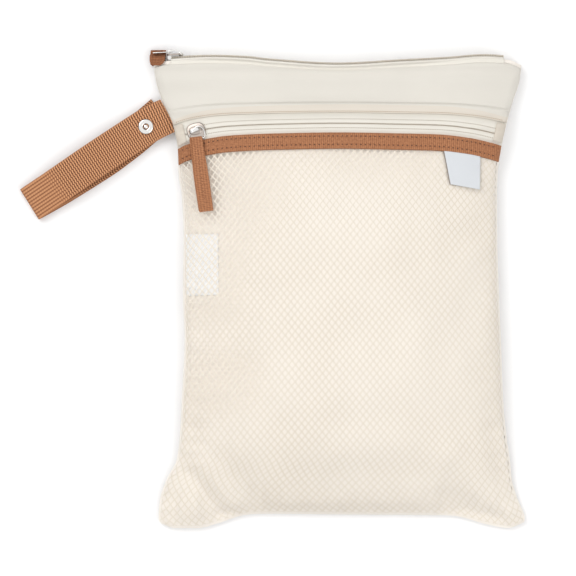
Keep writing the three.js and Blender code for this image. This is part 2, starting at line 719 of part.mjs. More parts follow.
// The pull hangs in the bail by its eye bar, whose axis is the hinge, along Z
const pullGroup = new THREE.Group();
const pullPivot = vec(-pivotSetback, sliderWall + pivotHeight, 0);
pullGroup.position.copy(pullPivot);
pullGroup.rotation.z = radians(-pullRake) - sliderTilt;
mouthSlider.add(pullGroup);
const pullOutline = new THREE.Shape();
pullOutline.moveTo(pullEyeBar / 2, -pullWidth / 2);
pullOutline.lineTo(pullEyeBar / 2, pullWidth / 2);
pullOutline.lineTo(pullTipRound - pullLength, pullWidth / 2);
pullOutline.quadraticCurveTo(-pullLength, pullWidth / 2, -pullLength, 0);
pullOutline.quadraticCurveTo(-pullLength, -pullWidth / 2, pullTipRound - pullLength, -pullWidth / 2);
pullOutline.closePath();
const windowHalf = bailWidth / 2 + layerGap;
const slot = new THREE.Path();
slot.moveTo(-pullEyeBar / 2, -windowHalf);
slot.lineTo(-pullEyeBar / 2 - pullWindow, -windowHalf);
slot.lineTo(-pullEyeBar / 2 - pullWindow, windowHalf);
slot.lineTo(-pullEyeBar / 2, windowHalf);
slot.closePath();
pullOutline.holes.push(slot);
const pullGeometry = new THREE.ExtrudeGeometry(pullOutline, {
  depth: pullWall,
  bevelEnabled: false,
  curveSegments: 5,
});
add(
  "top_zip_pull",
  pullGeometry.translate(0, 0, -pullWall / 2).rotateX(-Math.PI / 2),
  colours.silver,
  pullGroup,
);

// Brown tab folded over the zip's left end: back leaf, fold, front leaf
const corner = mouthAt(0);
const tabTop = corner.y + mouthTapeShow + tabOverCoil;
const tabBottom = tabTop - mouthTabHeight;
const tabRight = corner.x + mouthTabLength - tabShortfall;
const tabFoldX = corner.x - layerGap - mouthTabWall / 2;
const tabReach = corner.y - tabBottom; // of the leaves over the panels
const backLeafZ = liftAt(0, 1) - tabDrop - mouthTabWall / 2;
function leafZ(x) {
  const under = highestNear(bandHigh, x, corner.y - tabReach / 2, tabReach / 2 + layerGap);
  return under + 2 * layerGap + mouthTabWall / 2;
}
const tabStations = [];
const leafStation = (x, z, top, out) =>
  tabStations.push({ a: vec(x, tabBottom, z), b: vec(x, top, z), out });
const frontStartZ = leafZ(tabFoldX);
for (const x of [tabRight, tabFoldX]) leafStation(x, backLeafZ, tabTop, vec(0, 0, -1));
const foldHalf = (frontStartZ - backLeafZ) / 2;
for (const degrees of [30, 60, 90, 120, 150]) {
  const turn = radians(degrees);
  const out = vec(-Math.sin(turn), 0, -Math.cos(turn));
  const x = tabFoldX + Math.min(foldHalf, tabFoldDepth) * out.x;
  const drop = (frontLeafDrop * degrees) / 180;
  leafStation(x, backLeafZ + foldHalf + foldHalf * out.z, tabTop - drop, out);
}
for (const share of [0, 0.35, 0.7, 1]) {
  const x = lerp(tabFoldX, tabRight, share);
  leafStation(x, Math.max(frontStartZ, leafZ(x)), tabTop - frontLeafDrop, vec(0, 0, 1));
}
add("top_zip_end_tab", ribbonSolid(tabStations, mouthTabWall), colours.brown);

// Pocket slider: a plate on the raised tape with its bail, square to the surface
const sliderRow = (lines.partingLow + lines.partingTop) / 2;
const pocketSeat = stackPoint(pocketSliderPlace, sliderRow, tapeLevel(sliderRow) + pocketTapeWall);
const alongZip = stackPoint(pocketSliderPlace + 0.02, sliderRow, 0)
  .sub(stackPoint(pocketSliderPlace - 0.02, sliderRow, 0))
  .normalize();
const acrossZip = stackPoint(pocketSliderPlace, lines.chainTop, 0)
  .sub(stackPoint(pocketSliderPlace, lines.chainLow, 0))
  .normalize();
const offZip = vec(0, 0, 0).crossVectors(alongZip, acrossZip).normalize();
acrossZip.crossVectors(offZip, alongZip);
const pocketSliderWidth = pocketChainWidth + 2 * pocketSliderLip;
let seatRise = 0;
for (const dx of [-0.5, -0.25, 0, 0.25, 0.5]) {
  for (const dy of [-0.5, 0, 0.5]) {
    const spot = pocketSeat
      .clone()
      .addScaledVector(alongZip, dx * sliderLength)
      .addScaledVector(acrossZip, dy * pocketChainWidth);
    const top = facetHeight(tapeHigh, spot.x, spot.y);
    seatRise = Math.max(seatRise, (top - spot.z) * offZip.z);
  }
}
const pocketSlider = new THREE.Group();
const seatFrame = new THREE.Matrix4().makeBasis(alongZip, acrossZip, offZip);
pocketSlider.quaternion.setFromRotationMatrix(seatFrame);
pocketSlider.position.copy(pocketSeat).addScaledVector(offZip, seatRise + 1.5 * layerGap);
bag.add(pocketSlider);
const pocketPlate = new THREE.ExtrudeGeometry(plateShape(sliderLength, pocketSliderWidth), {
  depth: sliderWall,
  bevelEnabled: false,
  curveSegments: 6,
});
const pocketBail = bailGeometry(pocketBailLength, pocketBailHeight).rotateX(Math.PI / 2);
add(
  "pocket_zip_slider",
  joined(pocketPlate, pocketBail.translate(-pocketBailSetback, 0, sliderWall)),
  colours.silver,
  pocketSlider,
);

// A round wire along a closed curve
function wireLoop(points, wire, steps, sides) {
  const curve = new THREE.CatmullRomCurve3(points, true, "centripetal");
  const frames = curve.computeFrenetFrames(steps, true);
  const sections = [];
  for (let i = 0; i < steps; i += 1) {
    const centre = curve.getPointAt(i / steps);
    const ring = [];
    for (let k = 0; k < sides; k += 1) {
      const turn = (2 * Math.PI * k) / sides;
      const point = centre.clone().addScaledVector(frames.normals[i], (wire / 2) * Math.cos(turn));
      ring.push(point.addScaledVector(frames.binormals[i], (wire / 2) * Math.sin(turn)));
    }
    sections.push(ring);
  }
  return ringSolid(sections, true);
}

// Wire ring of the pocket's pull: one leg runs through the bail, the other passes over it
const hangDown = vec(Math.sin(radians(pullTapeLean)), -Math.cos(radians(pullTapeLean)), 0);
const hangSide = vec(-hangDown.y, hangDown.x, 0);
const bailFoot = vec(-pocketBailSetback, 0, sliderWall).applyMatrix4(seatFrame);
bailFoot.add(pocketSlider.position);
const ringSide = hangSide.clone().addScaledVector(offZip, -hangSide.dot(offZip)).normalize();
const ringDown = hangDown.clone().addScaledVector(offZip, -hangDown.dot(offZip)).normalize();
function ringPlace(side, down, off) {
  const place = bailFoot.clone().addScaledVector(ringSide, side);
  return place.addScaledVector(ringDown, down).addScaledVector(offZip, off);
}
const halfRing = (ringWidth - ringWire) / 2;
const ringFoot = ringLength - ringAtBail; // from the bail to the ring's lower bar
const wireLift = ringWire / 2 + layerGap;
const overBail = pocketBailHeight + ringWire / 2 + layerGap;
const ringBarLift = 0.2; // of the lower bar, from the slider's plate
const ringPoints = [
  ringPlace(1, 0, wireLift),
  ringPlace(1.6, 1.4, wireLift + 0.1),
  ringPlace(halfRing * 0.78, 2.6, wireLift + 0.3),
  ringPlace(halfRing, ringFoot * 0.62, wireLift + 0.2),
  ringPlace(halfRing * 0.98, ringFoot * 0.86, 0.4),
  ringPlace(halfRing * 0.82, ringFoot, ringBarLift),
  ringPlace(0, ringFoot, ringBarLift),
  ringPlace(-halfRing * 0.82, ringFoot, ringBarLift),
  ringPlace(-halfRing * 0.98, ringFoot * 0.86, 0.5),
  ringPlace(-halfRing, ringFoot * 0.62, 1.6),
  ringPlace(-halfRing * 0.78, 1.9, overBail - 0.9),
  ringPlace(-2.2, -0.3, overBail),
  ringPlace(0, -2.1, overBail - 0.8),
  ringPlace(1, -1.8, 1.7),
];
add("pocket_pull_ring", wireLoop(ringPoints, ringWire, 30, 6), colours.silver);

// Brown tape folded over the ring's lower bar; both layers lie down the binding and the net
const ringBar = ringPlace(0, ringFoot, ringBarLift);
const tapeFoldWidth = 2 * halfRing * 0.82 - 2 * layerGap;
const foldMid = ringWire / 2 + layerGap + pullTapeWall / 2;
const layerPitch = pullTapeWall + 0.2;
function tapeRest(distance) {
  const centre = ringBar.clone().addScaledVector(hangDown, distance);
  const spread = clamp(distance / pullTapeLength, 0, 1);
  const half = (pullTapeWidth * lerp(0.9, 1.05, spread)) / 2;
  const edges = [-1, 1].map((side) => centre.clone().addScaledVector(hangSide, side * half));
  const heights = edges.map((edge) => highestNear(outside, edge.x, edge.y, 2.6));
  const middle = highestNear(outside, centre.x, centre.y, 2.6);
  const raise = Math.max(middle - (heights[0] + heights[1]) / 2, 0) + layerGap + pullTapeWall / 2 + 0.1;
  edges.forEach((edge, k) => {
    edge.z = heights[k] + raise;
  });
  return edges;
}
const tapeStart = 7;
const tapeStations = [];
const pullTapeSteps = 9;
const restSteps = [];
for (let i = 0; i <= pullTapeSteps; i += 1) {
  restSteps.push(lerp(tapeStart, pullTapeLength - foldMid, i / pullTapeSteps));
}
const rests = restSteps.map(tapeRest);
const upward = vec(0, 0, 1);
function tapeLayer(edges, rise, out) {
  const [a, b] = edges.map((edge) => edge.clone().setZ(edge.z + rise));
  tapeStations.push({ a, b, out });
}
for (let i = pullTapeSteps; i >= 0; i -= 1) tapeLayer(rests[i], 0, upward.clone().negate());
const barEdges = [-1, 1].map((side) => ringBar.clone().addScaledVector(ringSide, (side * tapeFoldWidth) / 2));
for (const degrees of [-80, -40, 0, 40, 80]) {
  const turn = radians(degrees);
  const out = ringDown.clone().multiplyScalar(-Math.cos(turn)).addScaledVector(offZip, Math.sin(turn));
  tapeStations.push({
    a: barEdges[0].clone().addScaledVector(out, foldMid),
    b: barEdges[1].clone().addScaledVector(out, foldMid),
    out,
  });
}
for (let i = 0; i <= pullTapeSteps; i += 1) tapeLayer(rests[i], layerPitch, upward);
add("pocket_pull_tape", ribbonSolid(tapeStations, pullTapeWall), colours.brown);

// Strap: one length of webbing from the left seam to the fold and back under itself.
// Heights are those of its middle line; sideways offsets are shares of strapWidth from the
// straight line between seam and fold.
const strapAngle = 212.7; // heading from the seam, in degrees
const strapSeamHeight = 0.87; // of the bag's length, where the strap leaves the side seam
const upperCurve = [
  { along: 0, side: 0 },
  { along: 0.08, side: 0.05 },
  { along: 0.17, side: 0.075 },
  { along: 0.5, side: 0.06 },
  { along: 0.8, side: 0.02 },
  { along: 1, side: 0 },
];
const lowerCurve = [
  { along: 0, side: 0.165 },
  { along: 0.15, side: 0.07 },
  { along: 0.3, side: -0.015 },
  { along: 0.5, side: -0.07 },
  { along: 0.75, side: -0.06 },
  { along: 1, side: 0 },
];
const strapY = strapSeamHeight * bagLength - halfLength;
const strapRoot = vec(seamX(strapY) - 1.3, strapY, 0);
const strapAlong = vec(Math.cos(radians(strapAngle)), Math.sin(radians(strapAngle)), 0);
const strapSide = vec(strapAlong.y, -strapAlong.x, 0);

// Snap: stud through the lower layer, socket and open ring cap through the upper one
const studFlangeTop = snapFlange - 0.1;
const lowerAtSnap = studFlangeTop + layerGap + strapWall / 2;
const studShoulder = lowerAtSnap + strapWall / 2 + layerGap;
const studShoulderTop = studShoulder + 0.7;
const socketLow = studShoulderTop + layerGap;
const socketTop = socketLow + snapFlange;
const upperAtSnap = socketTop + layerGap + strapWall / 2;
const capLow = upperAtSnap + strapWall / 2 + layerGap;
const capTop = capLow + snapFlange + 0.1;

const restHeight = strapWall / 2;
const seamStack = liftAt(0, strapSeamHeight) + panelWall + strapWall / 2;
const foldTop = restHeight + 2 * foldRadius;
const snapShare = snapSetback / strapLoopLength;
const upperHeights = [
  { along: 0, z: seamStack },
  { along: snapShare - 0.05, z: upperAtSnap },
  { along: snapShare + 0.05, z: upperAtSnap },
  { along: 0.42, z: restHeight + strapLoopGap + strapWall },
  { along: 0.66, z: restHeight + strapLoopGap + strapWall },
  { along: 0.9, z: foldTop + 0.6 },
  { along: 1, z: foldTop },
];
const tailShare = (snapSetback - strapTail) / strapLoopLength;
const lowerHeights = [
  { along: 0, z: restHeight + 0.1 },
  { along: tailShare, z: restHeight + 0.1 },
  { along: snapShare - 0.05, z: lowerAtSnap },
  { along: snapShare + 0.05, z: lowerAtSnap },
  { along: snapShare + 0.17, z: restHeight },
  { along: 1, z: restHeight },
];
const foldStart = 1 - foldRadius / strapLoopLength;
function strapPoint(curve, heights, along) {
  const side = strapWidth * follow(curve, "along", "side", along);
  const point = strapRoot.clone().addScaledVector(strapAlong, along * strapLoopLength);
  point.addScaledVector(strapSide, side);
  point.z = follow(heights, "along", "z", along);
  return point;
}
function strapStation(curve, heights, along, facing) {
  const point = strapPoint(curve, heights, along);
  const step = 0.01;
  const heading = strapPoint(curve, heights, along + step).sub(strapPoint(curve, heights, along - step));
  const lateral = vec(-heading.y, heading.x, 0).normalize();
  const out = vec(0, 0, 0).crossVectors(heading, lateral).normalize();
  const half = strapWidth / 2;
  return {
    a: point.clone().addScaledVector(lateral, -half),
    b: point.clone().addScaledVector(lateral, half),
    out: out.multiplyScalar(facing * Math.sign(out.z)),
  };
}
const strapSteps = 15;
const strapStations = [];
for (let i = 0; i <= strapSteps; i += 1) {
  const along = lerp(tailShare, foldStart, i / strapSteps);
  strapStations.push(strapStation(lowerCurve, lowerHeights, along, -1));
}
for (const degrees of [30, 60, 90, 120, 150]) {
  const turn = radians(degrees);
  const out = strapAlong.clone().multiplyScalar(Math.sin(turn)).setZ(-Math.cos(turn));
  const centre = strapRoot.clone().addScaledVector(strapAlong, foldStart * strapLoopLength);
  centre.z = restHeight + foldRadius;
  centre.addScaledVector(out, foldRadius);
  const half = strapWidth / 2;
  const lateral = vec(-strapAlong.y, strapAlong.x, 0);
  strapStations.push({
    a: centre.clone().addScaledVector(lateral, -half),
    b: centre.clone().addScaledVector(lateral, half),
    out,
  });
}
for (let i = strapSteps; i >= 1; i -= 1) {
  const along = lerp(0.01, foldStart, i / strapSteps);
  strapStations.push(strapStation(upperCurve, upperHeights, along, 1));
}
const rootHalf = strapWidth / 2 / Math.cos(radians(strapAngle - 180 - 11));
const rootEdges = [1, -1].map((side) => {
  const y = strapY + side * rootHalf;
  return vec(seamX(y) - layerGap - 0.1, y, seamStack);
});
strapStations.push({ a: rootEdges[0], b: rootEdges[1], out: vec(0, 0, 1) });
const snapPlace = strapPoint(upperCurve, upperHeights, snapShare);
const snapHole = (diameter, low, high) => {
  const hole = new THREE.CylinderGeometry(diameter / 2, diameter / 2, high - low, 16).rotateX(Math.PI / 2);
  return hole.translate(snapPlace.x, snapPlace.y, (high + low) / 2);
};
const upperHole = snapHole(snapBarrelDiameter + 2 * layerGap, socketTop, capLow + 1);
const stemDiameter = snapPostDiameter + 1.2;
const lowerHole = snapHole(stemDiameter + 2 * layerGap, -1, studShoulder);
add("strap", cutBy(ribbonSolid(strapStations, strapWall), upperHole, lowerHole), colours.brown);

function turned(profile) {
  const points = [...profile, profile[0]].map(([r, z]) => new THREE.Vector2(r, z));
  const geometry = new THREE.LatheGeometry(points, 16).rotateX(Math.PI / 2);
  return geometry.translate(snapPlace.x, snapPlace.y, 0);
}
const capRadius = snapCapDiameter / 2;
const boreRadius = snapBoreDiameter / 2;
const barrelRadius = snapBarrelDiameter / 2;
add(
  "snap_cap",
  turned([
    [boreRadius, socketLow],
    [capRadius - 1, socketLow],
    [capRadius - 1, socketTop],
    [barrelRadius, socketTop],
    [barrelRadius, capLow],
    [capRadius, capLow],
    [capRadius - 0.2, capLow + 0.6],
    [capRadius - 1.1, capTop],
    [boreRadius + 0.5, capTop - 0.1],
    [boreRadius, capTop - 0.5],
  ]),
  colours.silver,
);
add(
  "snap_stud",
  turned([
    [0, 0],
    [capRadius - 0.5, 0],
    [capRadius - 0.5, studFlangeTop],
    [stemDiameter / 2, studFlangeTop],
    [stemDiameter / 2, studShoulder],
    [capRadius - 1.5, studShoulder],
    [capRadius - 1.5, studShoulderTop],
    [snapPostDiameter / 2, studShoulderTop],
    [snapPostDiameter / 2, capTop - 0.6],
    [snapPostDiameter / 2 - 0.5, capTop - 0.2],
    [0, capTop - 0.2],
  ]),
  colours.silver,
);

// A small patch of cloth lying on a surface, given by its four corners
function patchSolid(corners, surface, steps, wall, reach) {
  const shares = [];
  for (let i = 0; i <= steps; i += 1) shares.push(i / steps);
  const place = (s, t) => {
    const low = corners[0].clone().lerp(corners[1], s);
    const high = corners[3].clone().lerp(corners[2], s);
    return low.lerp(high, t);
  };
  const heights = new Map();
  const rest = (s, t) => {
    const key = s + "," + t;
    if (!heights.has(key)) {
      const spot = place(s, t);
      heights.set(key, highestNear(surface, spot.x, spot.y, reach) + layerGap);
    }
    return heights.get(key);
  };
  const layer = (rise) => (s, t) => place(s, t).setZ(rest(s, t) + rise);
  return sheetSolid(shares, shares, layer(0), layer(wall));
}

// Folded label that hangs from the binding's lower edge
const flagX = flagPlace * halfWidth;
const bindingEdge = (x) => {
  const left = planAt(0, lines.bindingLow).x;
  const right = planAt(1, lines.bindingLow).x;
  return planAt((x - left) / (right - left), lines.bindingLow).y - layerGap;
};
const flagDown = vec(Math.sin(radians(flagLean)), -Math.cos(radians(flagLean)), 0);
const flagLeft = vec(flagX, bindingEdge(flagX), 0);
const flagRight = vec(flagX + flagWidth, bindingEdge(flagX + flagWidth), 0);
const flagCorners = [
  flagLeft.clone().addScaledVector(flagDown, flagLength),
  flagRight.clone().lerp(flagLeft, 0.17).addScaledVector(flagDown, flagLength + 1),
  flagRight,
  flagLeft,
];
add("flag_label", patchSolid(flagCorners, netHigh, 6, flagWall, 1.5), colours.label);

// Care label under the net, sewn into the left seam
const careTop = careMiddle * halfLength + careLabelLength / 2;
const careLeft = (y) => seamX(y) + 1.2;
const careCorners = [
  vec(careLeft(careTop - careLabelLength), careTop - careLabelLength, 0),
  vec(careLeft(careTop - careLabelLength) + careLabelWidth, careTop - careLabelLength - 1, 0),
  vec(careLeft(careTop) + careLabelWidth, careTop - 1, 0),
  vec(careLeft(careTop), careTop, 0),
];
const panelHigh = stack(panelWall);
add("care_label", patchSolid(careCorners, panelHigh, 6, careLabelWall, 0.6), colours.label);

export default bag;
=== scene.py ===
import math

import bmesh
import bpy
import numpy as np
from mathutils import Matrix, Vector


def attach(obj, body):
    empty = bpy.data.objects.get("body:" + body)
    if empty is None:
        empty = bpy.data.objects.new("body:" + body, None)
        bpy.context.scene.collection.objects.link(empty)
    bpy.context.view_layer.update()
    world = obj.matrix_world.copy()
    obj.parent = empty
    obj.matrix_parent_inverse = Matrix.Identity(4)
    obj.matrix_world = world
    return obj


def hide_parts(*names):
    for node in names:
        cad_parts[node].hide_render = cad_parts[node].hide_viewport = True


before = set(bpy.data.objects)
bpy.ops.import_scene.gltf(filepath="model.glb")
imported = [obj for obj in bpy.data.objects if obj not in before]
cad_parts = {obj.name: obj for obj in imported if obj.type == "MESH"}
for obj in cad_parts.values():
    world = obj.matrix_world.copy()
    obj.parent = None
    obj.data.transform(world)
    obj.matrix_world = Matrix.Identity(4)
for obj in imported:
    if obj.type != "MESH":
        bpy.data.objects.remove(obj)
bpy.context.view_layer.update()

mm = 0.001  # every size below is in millimetres, and meshes are placed in metres
gap = 0.3  # between layers that lie on each other
edgeRounding = 0.4  # of a cloth's edges, as a share of its thickness

# Size and form of the bag, as it lies

bag = dict(width=260, length=338, fill=33, seamLift=6, cornerDip=10, mouthDip=6, wall=1.2)
pocket = dict(
    zipDepth=49.5,
    zipDrop=11.6,
    bindingWidth=11.4,
    zipReveal=13.6,
    hemWidth=6.1,
    chainOffset=5.8,
    chainWidth=6.3,
    coilHeight=2.1,
    netWall=1,
    netStandOff=5.2,
    bindingWall=1.4,
    bandRest=1.6,
    tapeLevel=1.1,
    coverStack=1.9,
)
mouth = dict(tapeShow=3.2, coilWidth=5.6, coilHeight=2.2, start=0.045, end=0.955)
careLabel = dict(width=23, length=44, wall=0.6, middle=0.11, margin=28)

halfWidth = bag["width"] / 2
halfLength = bag["length"] / 2
panelTop = halfLength - mouth["tapeShow"]
bottomMiddle = bag["cornerDip"] - halfLength
mouthMiddle = panelTop - bag["mouthDip"]

# How far edges, fades and the front's shoulders reach, as shares
form = dict(
    earReach=0.3,
    bendReach=0.62,
    sideStart=0.62,
    bottomStart=0.88,
    mouthStart=0.86,
    shoulderPower=1.5,
    foldFade=1.6,
    step=0.02,
    steepest=1.45,
    netEdgePower=14,
)

# Side edges as shares of half the width, against the height as a share of the length
sideRows = [
    dict(height=0, left=0.955, right=0.985),
    dict(height=0.018, left=0.998, right=1.006),
    dict(height=0.06, left=0.988, right=0.966),
    dict(height=0.1, left=0.955, right=0.934),
    dict(height=0.143, left=0.898, right=0.922),
    dict(height=0.19, left=0.88, right=0.904),
    dict(height=0.27, left=0.868, right=0.885),
    dict(height=0.4, left=0.853, right=0.872),
    dict(height=0.49, left=0.861, right=0.862),
    dict(height=0.62, left=0.858, right=0.852),
    dict(height=0.7, left=0.868, right=0.851),
    dict(height=0.745, left=0.886, right=0.854),
    dict(height=0.8, left=0.892, right=0.874),
    dict(height=0.85, left=0.918, right=0.902),
    dict(height=0.9, left=0.975, right=0.938),
    dict(height=0.945, left=1.012, right=0.975),
    dict(height=0.98, left=1.023, right=0.985),
    dict(height=1, left=1.015, right=0.978),
]

# Bottom and mouth between the side seams, and the zip's bend, as shares of their depths
crossRows = [
    dict(across=0, bottom=0.3, mouth=0.62, zip=1),
    dict(across=0.02, bottom=0, mouth=0.4, zip=0.8),
    dict(across=0.08, bottom=0, mouth=0.2, zip=0.44),
    dict(across=0.157, bottom=0.33, mouth=0.08, zip=0.2),
    dict(across=0.245, bottom=0.97, mouth=0.2, zip=0.1),
    dict(across=0.31, bottom=1.05, mouth=0.5, zip=0.06),
    dict(across=0.5, bottom=1, mouth=1, zip=0),
    dict(across=0.68, bottom=0.97, mouth=0.6, zip=0.06),
    dict(across=0.8, bottom=0.88, mouth=0.32, zip=0.12),
    dict(across=0.9, bottom=0.26, mouth=0, zip=0.34),
    dict(across=0.967, bottom=0, mouth=0.2, zip=0.62),
    dict(across=1, bottom=0.4, mouth=0.8, zip=0.8),
]

# Crown of the front, height of the seams and squareness of the cross-section
crownRows = [
    dict(height=0, crown=0, lift=0.15, squareness=2.6),
    dict(height=0.035, crown=0.3, lift=0.2, squareness=2.6),
    dict(height=0.09, crown=0.56, lift=0.35, squareness=2.5),
    dict(height=0.18, crown=0.84, lift=0.75, squareness=2.4),
    dict(height=0.32, crown=1, lift=1, squareness=2.4),
    dict(height=0.5, crown=0.97, lift=1, squareness=2.4),
    dict(height=0.66, crown=0.84, lift=0.95, squareness=2.6),
    dict(height=0.78, crown=0.68, lift=0.85, squareness=3),
    dict(height=0.87, crown=0.5, lift=0.75, squareness=3.6),
    dict(height=0.95, crown=0.34, lift=0.6, squareness=5),
    dict(height=1, crown=0.27, lift=0.5, squareness=7),
]

# Large dents and folds: ends and width in shares of the half sizes, depth in shares of the fill
foldRows = [
    dict(fromX=-0.62, fromY=0.86, toX=0.4, toY=0.84, width=0.17, depth=-0.1),
    dict(fromX=-0.78, fromY=0.7, toX=-0.5, toY=0.74, width=0.1, depth=-0.06),
    dict(fromX=-0.9, fromY=-0.7, toX=-0.62, toY=-0.98, width=0.06, depth=-0.14),
    dict(fromX=-0.84, fromY=-0.6, toX=-0.5, toY=-0.86, width=0.09, depth=-0.08),
    dict(fromX=0.84, fromY=-0.6, toX=0.9, toY=-0.78, width=0.06, depth=-0.1),
    dict(fromX=0.6, fromY=-0.88, toX=0.86, toY=-0.97, width=0.08, depth=-0.12),
    dict(fromX=0.62, fromY=-0.7, toX=0.94, toY=-0.93, width=0.08, depth=0.06),
    dict(fromX=-0.78, fromY=-0.36, toX=-0.5, toY=-0.34, width=0.1, depth=-0.05),
    dict(fromX=0.84, fromY=0.3, toX=0.62, toY=0.2, width=0.08, depth=-0.03),
]

# Where the net stands off the panel
netRows = [
    dict(x=-0.74, y=0.5, reachX=0.26, reachY=0.2, height=1),
    dict(x=0.18, y=0.6, reachX=0.32, reachY=0.1, height=0.35),
    dict(x=-0.72, y=-0.38, reachX=0.2, reachY=0.1, height=0.35),
]


def rowAt(depth):
    return 1 - (depth - mouth["tapeShow"]) / (mouthMiddle - bottomMiddle)


chainMiddle = pocket["zipDepth"] - pocket["chainOffset"]
halfChain = pocket["chainWidth"] / 2
hemDepth = pocket["zipDepth"] - pocket["zipReveal"]
lines = dict(
    bindingLow=rowAt(pocket["zipDepth"] + pocket["bindingWidth"]),
    bindingMiddle=rowAt(pocket["zipDepth"] + pocket["bindingWidth"] / 2),
    bindingTop=rowAt(pocket["zipDepth"]),
    chainLow=rowAt(chainMiddle + halfChain),
    parting=rowAt(chainMiddle),
    chainTop=rowAt(chainMiddle - halfChain),
    hemLow=rowAt(hemDepth),
    hemTop=rowAt(hemDepth - pocket["hemWidth"]),
    bandRest=rowAt(hemDepth - pocket["hemWidth"] - pocket["bandRest"]),
)
netFloor = bag["wall"] + gap
coverLevel = netFloor + pocket["netWall"] + gap


# A smooth curve through one named column of a table, without overshoot
def follow(rows, key, column, at):
    keys = np.array([row[key] for row in rows], float)
    values = np.array([row[column] for row in rows], float)
    spans = np.diff(keys)
    slopes = np.diff(values) / spans
    before, after = slopes[:-1], slopes[1:]
    total = np.where(np.abs(before + after) < 1e-12, 1, before + after)
    inner = np.where(before * after <= 0, 0, 2 * before * after / total)
    tangents = np.concatenate([slopes[:1], inner, slopes[-1:]])
    at = np.clip(np.asarray(at, float), keys[0], keys[-1])
    i = np.clip(np.searchsorted(keys, at, side="right") - 1, 0, len(spans) - 1)
    t = (at - keys[i]) / spans[i]
    return (
        (2 * t**3 - 3 * t**2 + 1) * values[i]
        + (t**3 - 2 * t**2 + t) * spans[i] * tangents[i]
        + (3 * t**2 - 2 * t**3) * values[i + 1]
        + (t**3 - t**2) * spans[i] * tangents[i + 1]
    )


def lerp(a, b, share):
    return a + (b - a) * share


def smooth(share):
    share = np.clip(share, 0, 1)
    return share * share * (3 - 2 * share)


def ramp(value, start, power):
    return np.clip((value - start) / (1 - start), 0, 1) ** power


def bendAt(row):
    centre = lines["bindingTop"]
    reach = np.where(row < centre, centre * form["bendReach"], 1 - centre)
    return smooth(1 - np.abs(row - centre) / reach)


# A point of the bag seen from above: across runs from seam to seam, row from bottom to mouth
def planAt(across, row):
    ear = bag["cornerDip"] * (1 - follow(crossRows, "across", "bottom", across))
    peak = bag["mouthDip"] * (1 - follow(crossRows, "across", "mouth", across))
    bend = pocket["zipDrop"] * follow(crossRows, "across", "zip", across) * bendAt(row)
    earFade = np.clip(1 - row / form["earReach"], 0, 1) ** 2
    peakFade = ramp(row, lines["hemTop"], 1.5)
    y = lerp(bottomMiddle, mouthMiddle, row) - ear * earFade + peak * peakFade - bend
    height = (y + halfLength) / bag["length"]
    left = -halfWidth * follow(sideRows, "height", "left", height)
    right = halfWidth * follow(sideRows, "height", "right", height)
    return lerp(left, right, across), y


def seamX(y):
    return -halfWidth * follow(sideRows, "height", "left", (y + halfLength) / bag["length"])


def liftAt(across, row):
    side = np.abs(2 * across - 1)
    fromSide = 1 - ramp(side, form["sideStart"], 2)
    fromBottom = 1 - ramp(1 - row, form["bottomStart"], 2)
    fromMouth = 1 - ramp(row, form["mouthStart"], 2)
    edge = 1 - fromSide * fromBottom * fromMouth
    return bag["seamLift"] * follow(crownRows, "height", "lift", row) * edge


def foldAt(x, y):
    total = 0
    for fold in foldRows:
        startX, startY = fold["fromX"] * halfWidth, fold["fromY"] * halfLength
        runX, runY = fold["toX"] * halfWidth - startX, fold["toY"] * halfLength - startY
        share = np.clip(((x - startX) * runX + (y - startY) * runY) / (runX**2 + runY**2), 0, 1)
        away = np.hypot(x - startX - share * runX, y - startY - share * runY)
        total = total + fold["depth"] * np.exp(-((away / (fold["width"] * halfWidth)) ** 2))
    return total * bag["fill"]


# Soft unevenness of filled cloth: a few crossing swells, and puckers along the seams
crumple = dict(
    seed=4,
    swell=0.55,
    swells=9,
    shortest=17,
    longest=52,
    wander=0.9,
    wanderTurn=0.37,
    pucker=0.5,
    puckerPitch=13,
    puckerReach=0.09,
    puckerPlace=0.8,
    puckerWander=1.7,
    puckerTurn=0.23,
    puckerStart=0.03,
    swellStart=0.12,
)
swellDice = np.random.default_rng(crumple["seed"])
swellWays = swellDice.uniform(0, math.pi, crumple["swells"])
swellLengths = swellDice.uniform(crumple["shortest"], crumple["longest"], crumple["swells"])
swellStarts = swellDice.uniform(0, 2 * math.pi, crumple["swells"])


def crumpleAt(across, row, x, y):
    side = np.abs(2 * across - 1)
    waves = 0
    for way, length, start in zip(swellWays, swellLengths, swellStarts):
        phase = (x * math.cos(way) + y * math.sin(way)) * 2 * math.pi / length + start
        wander = crumple["wander"] * np.sin(phase * crumple["wanderTurn"] + start)
        waves = waves + np.sin(phase + wander) * length / crumple["longest"]
    edge = np.minimum(1 - side, np.minimum(row, 1 - row) * 2)
    along = np.where(1 - side < row * 2, y, x)
    turn = along * 2 * math.pi / crumple["puckerPitch"]
    fromSeam = edge / crumple["puckerReach"] - crumple["puckerPlace"]
    turn = turn + crumple["puckerWander"] * np.sin(turn * crumple["puckerTurn"])
    pucker = np.sin(turn) * np.exp(-(fromSeam**2))
    swell = crumple["swell"] * waves / 3 * smooth(edge / crumple["swellStart"])
    return swell + crumple["pucker"] * pucker * smooth(edge / crumple["puckerStart"])


# Underside of the front panel
def frontAt(across, row):
    side = np.abs(2 * across - 1)
    square = follow(crownRows, "height", "squareness", row)
    dome = (1 - side**square) ** (1 / form["shoulderPower"])
    x, y = planAt(across, row)
    crown = bag["fill"] * follow(crownRows, "height", "crown", row)
    fold = foldAt(x, y) * np.minimum(1, dome * form["foldFade"]) * (row < 1)
    bulge = np.maximum(crown * dome + fold + crumpleAt(across, row, x, y), 0)
    return liftAt(across, row) + bag["wall"] + gap + bulge


